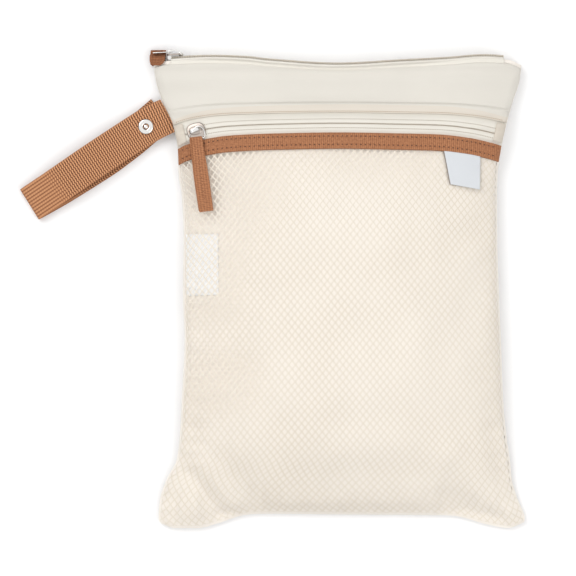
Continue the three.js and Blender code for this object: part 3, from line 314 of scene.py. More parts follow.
# How far a layer's thickness reaches upwards where the front is steep
def steepAt(across, row):
    step = form["step"]
    a = np.clip(across, step, 1 - step)
    r = np.clip(row, step, 1 - step)
    dx = planAt(a + step, r)[0] - planAt(a - step, r)[0]
    dy = planAt(a, r + step)[1] - planAt(a, r - step)[1]
    riseX = (frontAt(a + step, r) - frontAt(a - step, r)) / dx
    riseY = (frontAt(a, r + step) - frontAt(a, r - step)) / dy
    return np.minimum(np.sqrt(1 + riseX**2 + riseY**2), form["steepest"])


# Soft hills where the net stands off, each a share of the given height
def patchesAt(x, y, height):
    total = 0
    for patch in netRows:
        dx = (x / halfWidth - patch["x"]) / patch["reachX"]
        dy = (y / halfLength - patch["y"]) / patch["reachY"]
        total = total + patch["height"] * height * np.exp(-(dx**2) - dy**2)
    return total


def netLift(across, row):
    x, y = planAt(across, row)
    lift = patchesAt(x, y, pocket["netStandOff"]) * (1 - np.abs(2 * across - 1) ** form["netEdgePower"])
    pastEnd = np.abs(y - careLabel["middle"] * halfLength) - careLabel["length"] / 2
    pastSide = x - seamX(y) - careLabel["width"]
    margin = careLabel["margin"]
    overLabel = smooth(1 - pastEnd / margin) * smooth(1 - pastSide / margin)
    fade = np.clip((lines["bindingLow"] - row) * 14, 0, 1)
    return (lift + (careLabel["wall"] + 3 * gap) * overLabel) * fade


# A point at a level above the front panel's underside
def stackPoint(across, row, level):
    across, row, level = np.broadcast_arrays(np.asarray(across, float), row, level)
    x, y = planAt(across, row)
    return np.stack([x, y, frontAt(across, row) + steepAt(across, row) * level], -1)


# Point, way across and way outwards at a place of the front
def seatAt(across, row, level):
    step = 0.004
    here = stackPoint(across, row, level)
    acrossWay = stackPoint(across + step, row, level) - stackPoint(across - step, row, level)
    upWay = stackPoint(across, row + step, level) - stackPoint(across, row - step, level)
    out = np.cross(acrossWay, upWay)
    return here, unit(acrossWay), unit(out)


def unit(vectors):
    return vectors / np.maximum(np.linalg.norm(vectors, axis=-1, keepdims=True), 1e-12)


# Where a point of the plan lies on the front
def locate(x, y):
    x, y = np.asarray(x, float), np.asarray(y, float)
    across = np.full(x.shape, 0.5)
    row = np.full(x.shape, 0.5)
    for _ in range(40):
        row = np.clip(row + 0.8 * (y - planAt(across, row)[1]) / (mouthMiddle - bottomMiddle), 0, 1)
        left, right = planAt(0 * across, row)[0], planAt(0 * across + 1, row)[0]
        across = np.clip((x - left) / (right - left), 0, 1)
    return across, row


# Level of the outermost layer at a place of the front
def outerLevel(across, row):
    onChain = (row >= lines["chainLow"]) * (row <= lines["chainTop"])
    tape = netFloor + pocket["tapeLevel"] + (pocket["coilHeight"] + gap) * onChain
    level = np.where(row >= lines["hemTop"], netFloor + bag["wall"], coverLevel + pocket["coverStack"])
    level = np.where(row < lines["hemLow"], tape, level)
    level = np.where(row <= lines["bindingTop"], coverLevel + pocket["bindingWall"], level)
    return np.where(row < lines["bindingLow"], netFloor + netLift(across, row) + pocket["netWall"], level)


def outerHeight(x, y):
    across, row = locate(x, y)
    return stackPoint(across, row, outerLevel(across, row))[..., 2]


# Materials

def node(tree, kind, inputs=None, **settings):
    made = tree.nodes.new("ShaderNode" + kind)
    for name, value in settings.items():
        setattr(made, name, value)
    for name, value in (inputs or {}).items():
        if isinstance(value, bpy.types.NodeSocket):
            tree.links.new(value, made.inputs[name])
        else:
            made.inputs[name].default_value = value
    return made


def newMaterial(name, **shaderValues):
    material = bpy.data.materials.new(name)
    material.use_nodes = True
    tree = material.node_tree
    shader = tree.nodes["Principled BSDF"]
    for socket, value in shaderValues.items():
        shader.inputs[socket.replace("_", " ")].default_value = value
    return material, tree, shader


def maths(tree, operation, a, b=0.0):
    return node(tree, "Math", {0: a, 1: b}, operation=operation).outputs[0]


def mixed(tree, share, a, b):
    return node(tree, "MixRGB", {"Fac": share, "Color1": a, "Color2": b}).outputs[0]


# A colour ramp over a share, from rows of position and colour
def ramped(tree, share, rows):
    made = node(tree, "ValToRGB", {"Fac": share})
    stops = made.color_ramp.elements
    for stop, (position, colour) in zip(stops, (rows[0], rows[-1])):
        stop.position = position
        stop.color = (*colour, 1)
    for position, colour in rows[1:-1]:
        stops.new(position).color = (*colour, 1)
    return made.outputs[0]


def noiseAt(tree, place, scale, detail=3.0, roughness=0.55):
    inputs = {"Vector": place, "Scale": scale, "Detail": detail, "Roughness": roughness}
    return node(tree, "TexNoise", inputs).outputs["Fac"]


def uvPlace(tree):
    return node(tree, "UVMap", uv_map="UVMap").outputs["UV"]


def objectPlace(tree):
    return node(tree, "TexCoord").outputs["Object"]


# Threads of a plain weave: over-and-under bumps with the given pitches in millimetres
def weaveHeight(tree, place, pitchU, pitchV):
    parts = node(tree, "SeparateXYZ", {0: place}).outputs
    u = maths(tree, "SINE", maths(tree, "MULTIPLY", parts[0], 2 * math.pi / (pitchU * mm)))
    v = maths(tree, "SINE", maths(tree, "MULTIPLY", parts[1], 2 * math.pi / (pitchV * mm)))
    return maths(tree, "MULTIPLY", u, v)


def ribHeight(tree, place, axis, pitch):
    parts = node(tree, "SeparateXYZ", {0: place}).outputs
    return maths(tree, "SINE", maths(tree, "MULTIPLY", parts[axis], 2 * math.pi / (pitch * mm)))


def bumped(tree, shader, height, distance):
    bump = node(tree, "Bump", {"Height": height, "Distance": distance * mm})
    tree.links.new(bump.outputs[0], shader.inputs["Normal"])


def clothMaterial(name, light, dark, pitch, bump, roughness=0.8, sheen=0.25, patch=38.0):
    material, tree, shader = newMaterial(name, Roughness=roughness, Sheen_Weight=sheen)
    shader.inputs["Sheen Roughness"].default_value = 0.4
    place = uvPlace(tree)
    weave = weaveHeight(tree, place, pitch, pitch)
    cloud = noiseAt(tree, objectPlace(tree), patch, 4)
    fibre = noiseAt(tree, place, 1400, 2)
    share = maths(tree, "ADD", maths(tree, "MULTIPLY", cloud, 0.7), maths(tree, "MULTIPLY", fibre, 0.3))
    colour = mixed(tree, share, (*dark, 1), (*light, 1))
    tree.links.new(colour, shader.inputs["Base Color"])
    height = maths(tree, "ADD", weave, maths(tree, "MULTIPLY", fibre, 0.8))
    bumped(tree, shader, height, bump)
    return material


creamCloth = clothMaterial(
    "creamCloth", (0.975, 0.925, 0.86), (0.915, 0.853, 0.775), pitch=0.55, bump=0.04, sheen=0.1, patch=16
)
satinCloth = clothMaterial(
    "satinCloth",
    (0.78, 0.745, 0.675),
    (0.66, 0.63, 0.57),
    pitch=0.3,
    bump=0.02,
    roughness=0.5,
    sheen=0.15,
    patch=14,
)
hemCloth = clothMaterial(
    "hemCloth", (0.73, 0.665, 0.575), (0.67, 0.6, 0.51), pitch=0.3, bump=0.03, roughness=0.6, sheen=0.1
)
zipTapeCloth = clothMaterial(
    "zipTapeCloth", (0.83, 0.795, 0.72), (0.77, 0.735, 0.66), pitch=0.8, bump=0.06, roughness=0.7, sheen=0.1
)
labelCloth = clothMaterial(
    "labelCloth",
    (0.72, 0.745, 0.775),
    (0.68, 0.705, 0.735),
    pitch=0.35,
    bump=0.03,
    roughness=0.55,
    sheen=0.1,
)
# dark cloth of the flag label's back layer: painted shadow of the fold
foldShadowCloth = clothMaterial(
    "foldShadowCloth", (0.3, 0.25, 0.215), (0.22, 0.175, 0.145), pitch=0.35, bump=0.03, roughness=0.7, sheen=0.1
)
careCloth = clothMaterial(
    "careCloth", (0.99, 0.99, 0.99), (0.97, 0.97, 0.97), pitch=0.35, bump=0.03, roughness=0.6, sheen=0.1
)


def netMaterial():
    light, dark = (0.9, 0.845, 0.755, 1), (0.76, 0.685, 0.57, 1)
    material, tree, shader = newMaterial("netYarn", Roughness=0.6, Sheen_Weight=0.1)
    place = objectPlace(tree)
    fibre = noiseAt(tree, place, 2600, 2)
    colour = mixed(tree, noiseAt(tree, place, 18, 4), dark, light)
    tree.links.new(colour, shader.inputs["Base Color"])
    bumped(tree, shader, fibre, 0.12)
    return material


netYarn = netMaterial()


# Brown ribbon with fine cross ribs: light floats over dark grooves, the grooves' darkness painted shade and
# the floats' lightness painted light, more worn in places
def brownMaterial(name, colours, ribPitch, acrossPitch, bump, ribAxis=0):
    material, tree, shader = newMaterial(name, Roughness=0.85)
    place = uvPlace(tree)
    ribs = ribHeight(tree, place, ribAxis, ribPitch)
    threads = ribHeight(tree, place, 1 - ribAxis, acrossPitch)
    grains = maths(tree, "ADD", maths(tree, "MULTIPLY", ribs, 0.15), maths(tree, "MULTIPLY", threads, 0.1))
    fleck = noiseAt(tree, place, 700, 4, 0.65)
    share = maths(tree, "ADD", grains, fleck)
    # painted shade in the grooves and painted light on the floats, from the ribs' height
    grooveShadedColour = ramped(tree, share, list(zip((0.12, 0.5, 0.88), colours)))
    cloud = noiseAt(tree, objectPlace(tree), 60, 3)
    colour = mixed(tree, maths(tree, "MULTIPLY", cloud, 0.22), grooveShadedColour, (*colours[0], 1))
    tree.links.new(colour, shader.inputs["Base Color"])
    bumped(tree, shader, share, bump)
    return material


# Each brown from its grooves to its floats, the groove end painted shade; darker for the end tab
ribbonBrowns = [(0.16, 0.052, 0.02), (0.4, 0.168, 0.075), (0.6, 0.265, 0.122)]
tabBrowns = [(0.11, 0.035, 0.013), (0.275, 0.105, 0.043), (0.42, 0.17, 0.075)]
bindingCloth = brownMaterial("bindingCloth", ribbonBrowns, ribPitch=1.45, acrossPitch=0.9, bump=0.12)
tapeCloth = brownMaterial("tapeCloth", ribbonBrowns, ribPitch=1.25, acrossPitch=2.1, bump=0.16, ribAxis=1)
tabCloth = brownMaterial("tabCloth", tabBrowns, ribPitch=1.1, acrossPitch=1.9, bump=0.14)


# Webbing: the grain attribute holds how high each float stands; its colour ramp paints shade into the low
# grooves and light onto the high floats
def webbingMaterial():
    material, tree, shader = newMaterial("webbingCloth", Roughness=0.8)
    grain = node(tree, "Attribute", attribute_name="grain").outputs["Fac"]
    place = uvPlace(tree)
    fibre = noiseAt(tree, place, 1500, 2)
    share = maths(tree, "ADD", grain, maths(tree, "MULTIPLY", maths(tree, "SUBTRACT", fibre, 0.5), 0.3))
    # darkest in the grooves as painted shade, lightest on the floats as painted light
    browns = [(0.16, (0.1, 0.03, 0.01)), (0.48, (0.37, 0.155, 0.067)), (0.85, (0.72, 0.36, 0.175))]
    grooveShadedColour = ramped(tree, share, browns)
    tree.links.new(grooveShadedColour, shader.inputs["Base Color"])
    bumped(tree, shader, fibre, 0.1)
    return material


webbingCloth = webbingMaterial()


def threadMaterial(name, colour, shade):
    material, tree, shader = newMaterial(name, Roughness=0.6, Sheen_Weight=0.2)
    twist = noiseAt(tree, objectPlace(tree), 1800, 2)
    tree.links.new(mixed(tree, twist, (*shade, 1), (*colour, 1)), shader.inputs["Base Color"])
    bumped(tree, shader, twist, 0.1)
    return material


brownThread = threadMaterial("brownThread", (0.1, 0.033, 0.013), (0.045, 0.014, 0.006))
creamThread = threadMaterial("creamThread", (0.5, 0.36, 0.24), (0.38, 0.26, 0.16))
greyThread = threadMaterial("greyThread", (0.4, 0.33, 0.25), (0.3, 0.23, 0.16))
# the dark thread along the parting is painted shade of the gap between the tapes
partingShadeThread = threadMaterial("partingShadeThread", (0.42, 0.31, 0.21), (0.25, 0.17, 0.1))


def nylonMaterial():
    material, tree, shader = newMaterial("coilNylon", Roughness=0.35)
    shader.inputs["Subsurface Weight"].default_value = 0.1
    shader.inputs["Subsurface Radius"].default_value = (0.002, 0.002, 0.0015)
    cloud = noiseAt(tree, objectPlace(tree), 300, 2)
    colour = mixed(tree, cloud, (0.64, 0.575, 0.48, 1), (0.78, 0.72, 0.63, 1))
    tree.links.new(colour, shader.inputs["Base Color"])
    return material


coilNylon = nylonMaterial()


# Plated metal with faint scuffs
def metalMaterial(name, dark, light, smoothest, roughest):
    material, tree, shader = newMaterial(name, Metallic=1.0)
    place = objectPlace(tree)
    scuff = noiseAt(tree, place, 700, 4, 0.7)
    colour = mixed(tree, noiseAt(tree, place, 150, 3), dark, light)
    rough = node(tree, "MapRange", {"Value": scuff, "To Min": smoothest, "To Max": roughest}).outputs[0]
    tree.links.new(colour, shader.inputs["Base Color"])
    tree.links.new(rough, shader.inputs["Roughness"])
    bumped(tree, shader, scuff, 0.03)
    return material


nickelPlate = metalMaterial("nickelPlate", (0.7, 0.69, 0.67, 1), (0.86, 0.85, 0.83, 1), 0.06, 0.16)
warmPlate = metalMaterial("warmPlate", (0.4, 0.345, 0.305, 1), (0.53, 0.475, 0.43, 1), 0.24, 0.4)
print("materials made")


# Making and finishing pieces

def deselectAll():
    if bpy.context.object and bpy.context.object.mode != "OBJECT":
        bpy.ops.object.mode_set(mode="OBJECT")
    bpy.ops.object.select_all(action="DESELECT")


def startPiece(name, material):
    piece = bpy.context.object
    piece.name = name
    piece.data.name = name
    piece.data.materials.clear()
    piece.data.materials.append(material)
    return piece


def makeActive(piece):
    deselectAll()
    piece.select_set(True)
    bpy.context.view_layer.objects.active = piece


def editAll():
    bpy.ops.object.mode_set(mode="EDIT")
    bpy.ops.mesh.select_all(action="SELECT")


def addModifier(piece, kind, **settings):
    modifier = piece.modifiers.new(kind.title(), kind)
    for name, value in settings.items():
        setattr(modifier, name, value)
    makeActive(piece)
    bpy.ops.object.modifier_apply(modifier=modifier.name)


def shadeSmooth(piece, degrees=50):
    makeActive(piece)
    bpy.ops.object.shade_smooth_by_angle(angle=math.radians(degrees))


def dress(piece, nodes, body="bag"):
    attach(piece, body)
    if nodes:
        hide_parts(*nodes)


# Places or normals of a mesh's points, a row for each
def pointRows(mesh, name="co"):
    values = np.empty(len(mesh.vertices) * 3)
    mesh.vertices.foreach_get(name, values)
    return values.reshape(-1, 3)


# Moves a piece's points through a function of their places in metres
def reshape(piece, change):
    moved = change(pointRows(piece.data))
    piece.data.vertices.foreach_set("co", np.ascontiguousarray(moved, float).ravel())
    piece.data.update()


def shiftBy(x, y, z):
    return Matrix.Translation(Vector((x, y, z)) * mm)


def moveTo(piece, matrix):
    piece.data.transform(matrix)
    piece.data.update()


def arcLengths(points, axis):
    steps = np.linalg.norm(np.diff(points, axis=axis), axis=-1)
    start = np.zeros_like(np.take(steps, [0], axis=axis))
    return np.concatenate([start, np.cumsum(steps, axis=axis)], axis=axis)


# Value at a length along a line, from its values at the line's points
def alongLine(at, run, values):
    return np.array([np.interp(at, run, values[:, k]) for k in range(3)])


# A sheet of cloth over a grid of points in millimetres, laid out row by row
def sheetPiece(name, points, wall, material):
    rowsCount, columnsCount = points.shape[:2]
    deselectAll()
    bpy.ops.mesh.primitive_grid_add(x_subdivisions=columnsCount - 1, y_subdivisions=rowsCount - 1, size=2)
    piece = startPiece(name, material)
    mesh = piece.data
    flat = pointRows(mesh)
    i = np.rint((flat[:, 0] + 1) / 2 * (columnsCount - 1)).astype(int)
    j = np.rint((flat[:, 1] + 1) / 2 * (rowsCount - 1)).astype(int)
    mesh.vertices.foreach_set("co", (points[j, i] * mm).ravel())
    u, v = arcLengths(points, 1) * mm, arcLengths(points, 0) * mm
    corners = np.empty(len(mesh.loops), int)
    mesh.loops.foreach_get("vertex_index", corners)
    places = np.stack([u[j, i][corners], v[j, i][corners]], -1)
    mesh.uv_layers.active.data.foreach_set("uv", places.ravel())
    mesh.update()
    if wall:
        addModifier(piece, "SOLIDIFY", thickness=wall * mm, offset=0)
        addModifier(piece, "BEVEL", width=wall * edgeRounding * mm, segments=2, angle_limit=math.radians(60))
    shadeSmooth(piece)
    return piece


# Steps from 0 to 1 that are closer together at both ends
def cosineSteps(count):
    return (1 - np.cos(np.linspace(0, math.pi, count + 1))) / 2


# Points of a band of the front, from a profile of rows and levels
def gridOf(acrossList, profile):
    rows = np.array([row for row, level in profile])[:, None]
    levels = np.array([level for row, level in profile])[:, None]
    return stackPoint(np.asarray(acrossList)[None, :], rows, levels)


# Panels

panels = dict(columns=150, rows=190, backColumns=90, backRows=110, dent=3)


def backPanel():
    across, row = np.meshgrid(cosineSteps(panels["backColumns"]), np.linspace(0, 1, panels["backRows"]))
    x, y = planAt(across, row)
    points = np.stack([x, y, liftAt(across, row) + bag["wall"] / 2], -1)
    piece = sheetPiece("back_panel_cloth", points, bag["wall"], creamCloth)
    dress(piece, ["back_panel"])


# The panel sinks away below the places where the net stands off
def frontPanel():
    across, row = np.meshgrid(cosineSteps(panels["columns"]), np.linspace(0, 1, panels["rows"]))
    points = stackPoint(across, row, bag["wall"] / 2)
    points[..., 2] -= patchesAt(points[..., 0], points[..., 1], panels["dent"])
    piece = sheetPiece("front_panel_cloth", points, bag["wall"], creamCloth)
    dress(piece, ["front_panel"])


backPanel()
frontPanel()
print("panels made")


# Upper band: satin from the mouth down to a turned hem above the pocket's zip

band = dict(
    columns=170,
    rows=60,
    cloth=0.75,
    turns=5,
    mouthDepth=5.6,
    hemRun=12.6,
    hemColour=(0.72, 0.66, 0.575, 1),
    hemLevel=1.15,
    underlap=0.5,
    turnReach=0.5,
    turnRise=0.4,
    turnStart=0.0025,
    step=0.8,
    swell=0.3,
    stitchShare=0.16,
    stitchDip=0.3,
    stitchWidth=0.0022,
    lip=0.5,
)


# The hem is creamier than the satin, up to a length along the cloth
def hemOnSatin(material):
    tree = material.node_tree
    shader = tree.nodes["Principled BSDF"]
    satinColour = shader.inputs["Base Color"].links[0].from_socket
    upwards = node(tree, "SeparateXYZ", {0: uvPlace(tree)}).outputs[1]
    onHem = maths(tree, "LESS_THAN", upwards, band["hemRun"] * mm)
    tree.links.new(mixed(tree, onHem, satinColour, band["hemColour"]), shader.inputs["Base Color"])


def hemProfile():
    cloth = band["cloth"]
    hemLow, hemTop = lines["hemLow"], lines["hemTop"]
    lower = netFloor + band["hemLevel"] + cloth / 2
    profile = []
    for share in np.linspace(0.1, 0.94, 4):
        profile.append((lerp(hemTop, hemLow, share), lower + band["underlap"] * (1 - share)))
    for turn in np.linspace(0.3, math.pi - 0.3, band["turns"]):
        reach = band["turnReach"] * math.sin(turn) / (mouthMiddle - bottomMiddle)
        rise = band["turnRise"] * (1 - math.cos(turn))
        profile.append((hemLow + band["turnStart"] - reach, lower + rise))
    stitchRow = lerp(hemLow, hemTop, band["stitchShare"])
    for share in np.linspace(0.05, 1, 14):
        row = lerp(hemLow, hemTop, float(share))
        dip = band["stitchDip"] * math.exp(-(((row - stitchRow) / band["stitchWidth"]) ** 2))
        profile.append((row, lower + band["step"] + band["swell"] * float(smooth(share / 0.7)) - dip))
    rest = netFloor + bag["wall"] - cloth / 2
    top = profile[-1][1]
    for share in (0.25, 0.5, 0.75, 1):
        profile.append((lerp(hemTop, lines["bandRest"], share), lerp(top, rest, float(smooth(share)))))
    edge = rowAt(band["mouthDepth"])
    for row in np.linspace(lines["bandRest"], edge - 0.003, band["rows"])[1:]:
        profile.append((row, rest))
    # the edge at the mouth is rounded and turns down to the zip's tape
    lip = band["lip"]
    profile += [(edge - 0.001, rest + lip / 2), (edge, rest - 0.1), (edge - 0.001, rest - lip)]
    return profile


def upperBand():
    points = gridOf(cosineSteps(band["columns"]), hemProfile())
    piece = sheetPiece("upper_band_cloth", points, band["cloth"], satinCloth)
    dress(piece, ["upper_band"])
    return piece, points


hemOnSatin(satinCloth)
bandPiece, bandPoints = upperBand()
print("upper band made")


# Net pocket: one eight-sided cell, repeated, bent onto the front

net = dict(
    pitchX=4.8,
    pitchY=6,
    holeX=3.55,
    holeY=4.85,
    holeBulge=1.06,
    yarn=0.45,
    flatWidth=262,
    flatLength=300,
    cutSize=(0.232, 0.282),
)


def netPocket():
    deselectAll()
    bpy.ops.mesh.primitive_circle_add(vertices=8, radius=1, fill_type="NGON")
    piece = startPiece("mesh_pocket_net", netYarn)
    editAll()
    bpy.ops.mesh.inset(thickness=0.4, depth=0)
    bpy.ops.mesh.delete(type="FACE")
    bpy.ops.object.mode_set(mode="OBJECT")
    halfX, halfY = net["pitchX"] / 2, net["pitchY"] / 2

    # a diamond outside and a rounded diamond for the hole
    def shapeCell(places):
        shaped = places.copy()
        outer = np.hypot(places[:, 0], places[:, 1]) > 0.9
        corner = np.rint(np.degrees(np.arctan2(places[:, 1], places[:, 0])) / 45) % 8
        waysX = np.array([1, 0.5, 0, -0.5, -1, -0.5, 0, 0.5])[corner.astype(int)]
        waysY = np.array([0, 0.5, 1, 0.5, 0, -0.5, -1, -0.5])[corner.astype(int)]
        flank = np.abs(waysX) == 0.5
        holeX = np.where(flank, 2 * net["holeBulge"], net["holeX"] / 2)
        holeY = np.where(flank, 2 * net["holeBulge"], net["holeY"] / 2)
        shaped[:, 0] = waysX * np.where(outer, halfX, holeX)
        shaped[:, 1] = waysY * np.where(outer, halfY, holeY)
        shaped[:, 2] = outer * 1.0
        return shaped

    reshape(piece, shapeCell)
    # two cells make the brick, and the brick fills the pocket
    countX = math.ceil(net["flatWidth"] / net["pitchX"])
    countY = math.ceil(net["flatLength"] / net["pitchY"])
    relative = dict(use_relative_offset=False, use_constant_offset=True)
    offset = (halfX, halfY, 0)
    addModifier(piece, "ARRAY", count=2, constant_offset_displace=offset, **relative)
    addModifier(piece, "ARRAY", count=countX, constant_offset_displace=(net["pitchX"], 0, 0), **relative)
    addModifier(piece, "ARRAY", count=countY, constant_offset_displace=(0, net["pitchY"], 0), **relative)
    return piece


# Level of the net's middle
def netLevel(across, row):
    return netFloor + netLift(across, row) + pocket["netWall"] / 2


# Bends the flat net onto the front and gives the upper and lower face of its yarn
def bendNet(piece):
    netTop = lines["bindingMiddle"]
    rowTable = np.linspace(0, netTop, 200)
    upwards = arcLengths(stackPoint(0.5, rowTable, netFloor)[:, None], 0)[:, 0]
    acrossTable = np.linspace(0, 1, 241)
    sampleRows = np.linspace(0, netTop, 60)
    arcs = arcLengths(stackPoint(acrossTable[None, :], sampleRows[:, None], netFloor), 1)
    shares = arcs / arcs[:, -1:]
    middleWidth = float(np.median(arcs[:, -1]))

    def onto(places):
        row = np.interp(places[:, 1], upwards, rowTable)
        place = np.clip(row, 0, netTop) / netTop * (len(sampleRows) - 1)
        low = np.clip(place.astype(int), 0, len(sampleRows) - 2)
        share = places[:, 0] / middleWidth
        across = np.empty_like(share)
        for k in np.unique(low):
            chosen = low == k
            first = np.interp(share[chosen], shares[k], acrossTable)
            second = np.interp(share[chosen], shares[k + 1], acrossTable)
            across[chosen] = lerp(first, second, (place - low)[chosen])
        return across, row

    work = bmesh.new()
    work.from_mesh(piece.data)
    bmesh.ops.remove_doubles(work, verts=work.verts, dist=0.05)
    # faces past the edge go, and the last points are drawn onto the seam
    outside = [
        face
        for face in work.faces
        if all(not (0 < vert.co.x < middleWidth and 0 < vert.co.y < upwards[-1]) for vert in face.verts)
    ]
    bmesh.ops.delete(work, geom=outside, context="FACES")
    work.to_mesh(piece.data)
    work.free()
    flat = np.array([vert.co for vert in piece.data.vertices])
    across, row = onto(flat)
    here, _, out = seatAt(np.clip(across, 0.004, 0.996), np.clip(row, 0.004, 0.99), netLevel(across, row))
    ridge = (flat[:, 2] > 0.5)[:, None]
    return here + out * net["yarn"] / 2 * ridge, here - out * net["yarn"] / 2 * ridge


# A second layer of faces turns the bent net into closed yarn
def closeNet(piece, top, low):
    work = bmesh.new()
    work.from_mesh(piece.data)
    work.verts.ensure_lookup_table()
    count = len(work.verts)
    copied = bmesh.ops.duplicate(work, geom=work.verts[:] + work.edges[:] + work.faces[:])
    work.verts.ensure_lookup_table()
    for vert in work.verts[:count]:
        vert.co = Vector(top[vert.index]) * mm
        copied["vert_map"][vert].co = Vector(low[vert.index]) * mm
    flipped = [element for element in copied["geom"] if isinstance(element, bmesh.types.BMFace)]
    bmesh.ops.reverse_faces(work, faces=flipped)
    bmesh.ops.remove_doubles(work, verts=work.verts, dist=0.002 * mm)
    loose = [vert for vert in work.verts if not vert.link_faces]
    bmesh.ops.delete(work, geom=loose, context="VERTS")
    work.to_mesh(piece.data)
    work.free()
    piece.data.update()


netPiece = netPocket()
closeNet(netPiece, *bendNet(netPiece))
shadeSmooth(netPiece, 80)
dress(netPiece, ["mesh_pocket"])
print("net made", len(netPiece.data.vertices), "points")


# Binding: grosgrain folded over the net's edge and the zip tape, with two lines of stitches

binding = dict(
    columns=300,
    rows=27,
    cloth=0.7,
    puff=0.45,
    sink=0.25,
    drop=0.0024,
    edgeWidth=0.055,
    seamDepth=0.4,
    seamWidth=0.05,
    seams=dict(low=0.26, top=0.78),
)


def bindingPiece():
    cloth = binding["cloth"]
    outer = coverLevel + pocket["bindingWall"] - cloth / 2
    profile = []
    for share in np.linspace(0, 1, binding["rows"]):
        row = lerp(lines["bindingLow"], lines["bindingTop"], share) - binding["drop"]
        away = [(share - seam) / binding["seamWidth"] for seam in binding["seams"].values()]
        seams = sum(math.exp(-(distance**2)) for distance in away)
        edge = min(share, 1 - share)
        drop = (outer - netFloor - 0.5) * (1 - float(smooth(edge / binding["edgeWidth"] + 0.25)))
        puff = binding["puff"] * math.sin(math.pi * share)
        profile.append((row, outer - drop - binding["seamDepth"] * seams + puff - binding["sink"]))
    points = gridOf(cosineSteps(binding["columns"]), profile)
    piece = sheetPiece("pocket_binding_cloth", points, cloth, bindingCloth)
    dress(piece, ["pocket_binding"])
    return piece, points


bindingRibbon, bindingPoints = bindingPiece()


# Fills a piece with copies of its own mesh, one at each start along a line
def repeatMesh(piece, material, starts, copyAt):
    one = np.array([vert.co for vert in piece.data.vertices])
    faces = [tuple(face.vertices) for face in piece.data.polygons]
    copies = np.concatenate([copyAt(one, start) for start in starts])
    bases = range(0, len(copies), len(one))
    corners = [tuple(base + index for index in face) for base in bases for face in faces]
    mesh = bpy.data.meshes.new(piece.name)
    mesh.from_pydata([tuple(place) for place in copies * mm], [], corners)
    piece.data = mesh
    mesh.materials.append(material)
    shadeSmooth(piece, 80)


# Stitches along a line of places: points in millimetres with the way outwards at each
def stitchLine(name, points, outs, stitch, material):
    run = arcLengths(points[:, None], 0)[:, 0]
    deselectAll()
    bpy.ops.mesh.primitive_uv_sphere_add(segments=6, ring_count=5, radius=1)
    piece = startPiece(name, material)
    radius = stitch["radius"]

    def stitchAt(one, start):
        out = unit(alongLine(start, run, outs))
        along = unit(alongLine(start + 0.5, run, points) - alongLine(start - 0.5, run, points))
        side = unit(np.cross(out, along))
        up = np.cross(along, side)
        spread = one[:, :1] * along * stitch["length"] / 2 + one[:, 1:2] * side * radius
        # flattened, and both ends dip into the cloth
        rise = (one[:, 2:] * 0.7 - 0.9 * one[:, :1] ** 2) * up * radius
        return alongLine(start, run, points) + spread + rise

    starts = np.arange(stitch["pitch"] / 2, run[-1] - stitch["pitch"] / 2, stitch["pitch"])
    repeatMesh(piece, material, starts, stitchAt)
    dress(piece, [])


# The same at one row and level of the front
def stitchAcross(name, row, level, stitch, material, low=0.008, high=0.992):
    points, _, outs = seatAt(np.linspace(low, high, 600), np.full(600, row), level)
    stitchLine(name, points, outs, stitch, material)


bindingStitch = dict(pitch=3.3, length=1.9, radius=0.58, sink=0.3)
hemStitch = dict(pitch=1.5, length=1.0, radius=0.32, sink=0.06)
for label, share in binding["seams"].items():
    row = lerp(lines["bindingLow"], lines["bindingTop"], share) - binding["drop"]
    level = coverLevel + pocket["bindingWall"] - bindingStitch["sink"]
    stitchAcross("binding_stitches_" + label, row, level, bindingStitch, brownThread)
stitchAcross(
    "hem_stitches",
    lerp(lines["hemLow"], lines["hemTop"], band["stitchShare"]),
    netFloor + band["hemLevel"] + band["cloth"] + band["step"] - hemStitch["sink"],
    hemStitch,
    creamThread,
)
print("binding and stitches made")


# Pocket zip: two tapes that rise over a hidden coil and meet in the middle

pocketZip = dict(
    columns=260,
    cloth=0.8,
    start=0.05,
    end=0.975,
    tuckUpper=0.28,
    tuckLower=0.9,
    partingGap=0.0009,
    crown=0.2,
    lip=0.35,
    coilLevel=0.9,
    coil=dict(height=1.7, width=5.2, wire=0.6, pitch=1.6, shift=0, offset=0),
)
endCover = dict(width=6.5, cloth=0.8, level=1.1, tuck=0.7, overlap=0.003)
zipStitch = dict(pitch=1.25, length=0.85, rise=0.12)


def zipProfile(upper):
    floor = netFloor + pocketZip["cloth"] / 2
    raised = floor + pocket["coilHeight"] + gap
    toMiddle = -1 if upper else 1
    edge = lines["hemTop"] if upper else lines["bindingMiddle"]
    shoulder = lines["chainTop"] if upper else lines["chainLow"]
    foot = lines["hemLow"] if upper else lines["bindingTop"]
    tucked = floor + pocketZip["tuckUpper" if upper else "tuckLower"]
    parting = lines["parting"] - toMiddle * pocketZip["partingGap"]
    profile = [(lerp(edge, foot, share), lerp(floor, tucked, share)) for share in np.linspace(0, 1, 7)]
    for share in (0.15, 0.3, 0.45, 0.6, 0.75, 0.9, 1):
        profile.append((lerp(foot, shoulder, share), lerp(tucked, raised, math.sin(share * math.pi / 2))))
    for share in np.linspace(0.12, 1, 8):
        crown = pocketZip["crown"] * math.sin(math.pi * share) - pocketZip["lip"] * share**6
        profile.append((lerp(shoulder, parting, share), raised + crown))
    return profile[::-1] if upper else profile


for label, upper in (("lower", False), ("upper", True)):
    zipPoints = gridOf(cosineSteps(pocketZip["columns"]), zipProfile(upper))
    zipTape = sheetPiece("pocket_tape_" + label, zipPoints, pocketZip["cloth"], zipTapeCloth)
    dress(zipTape, ["pocket_zip_tape_" + label])


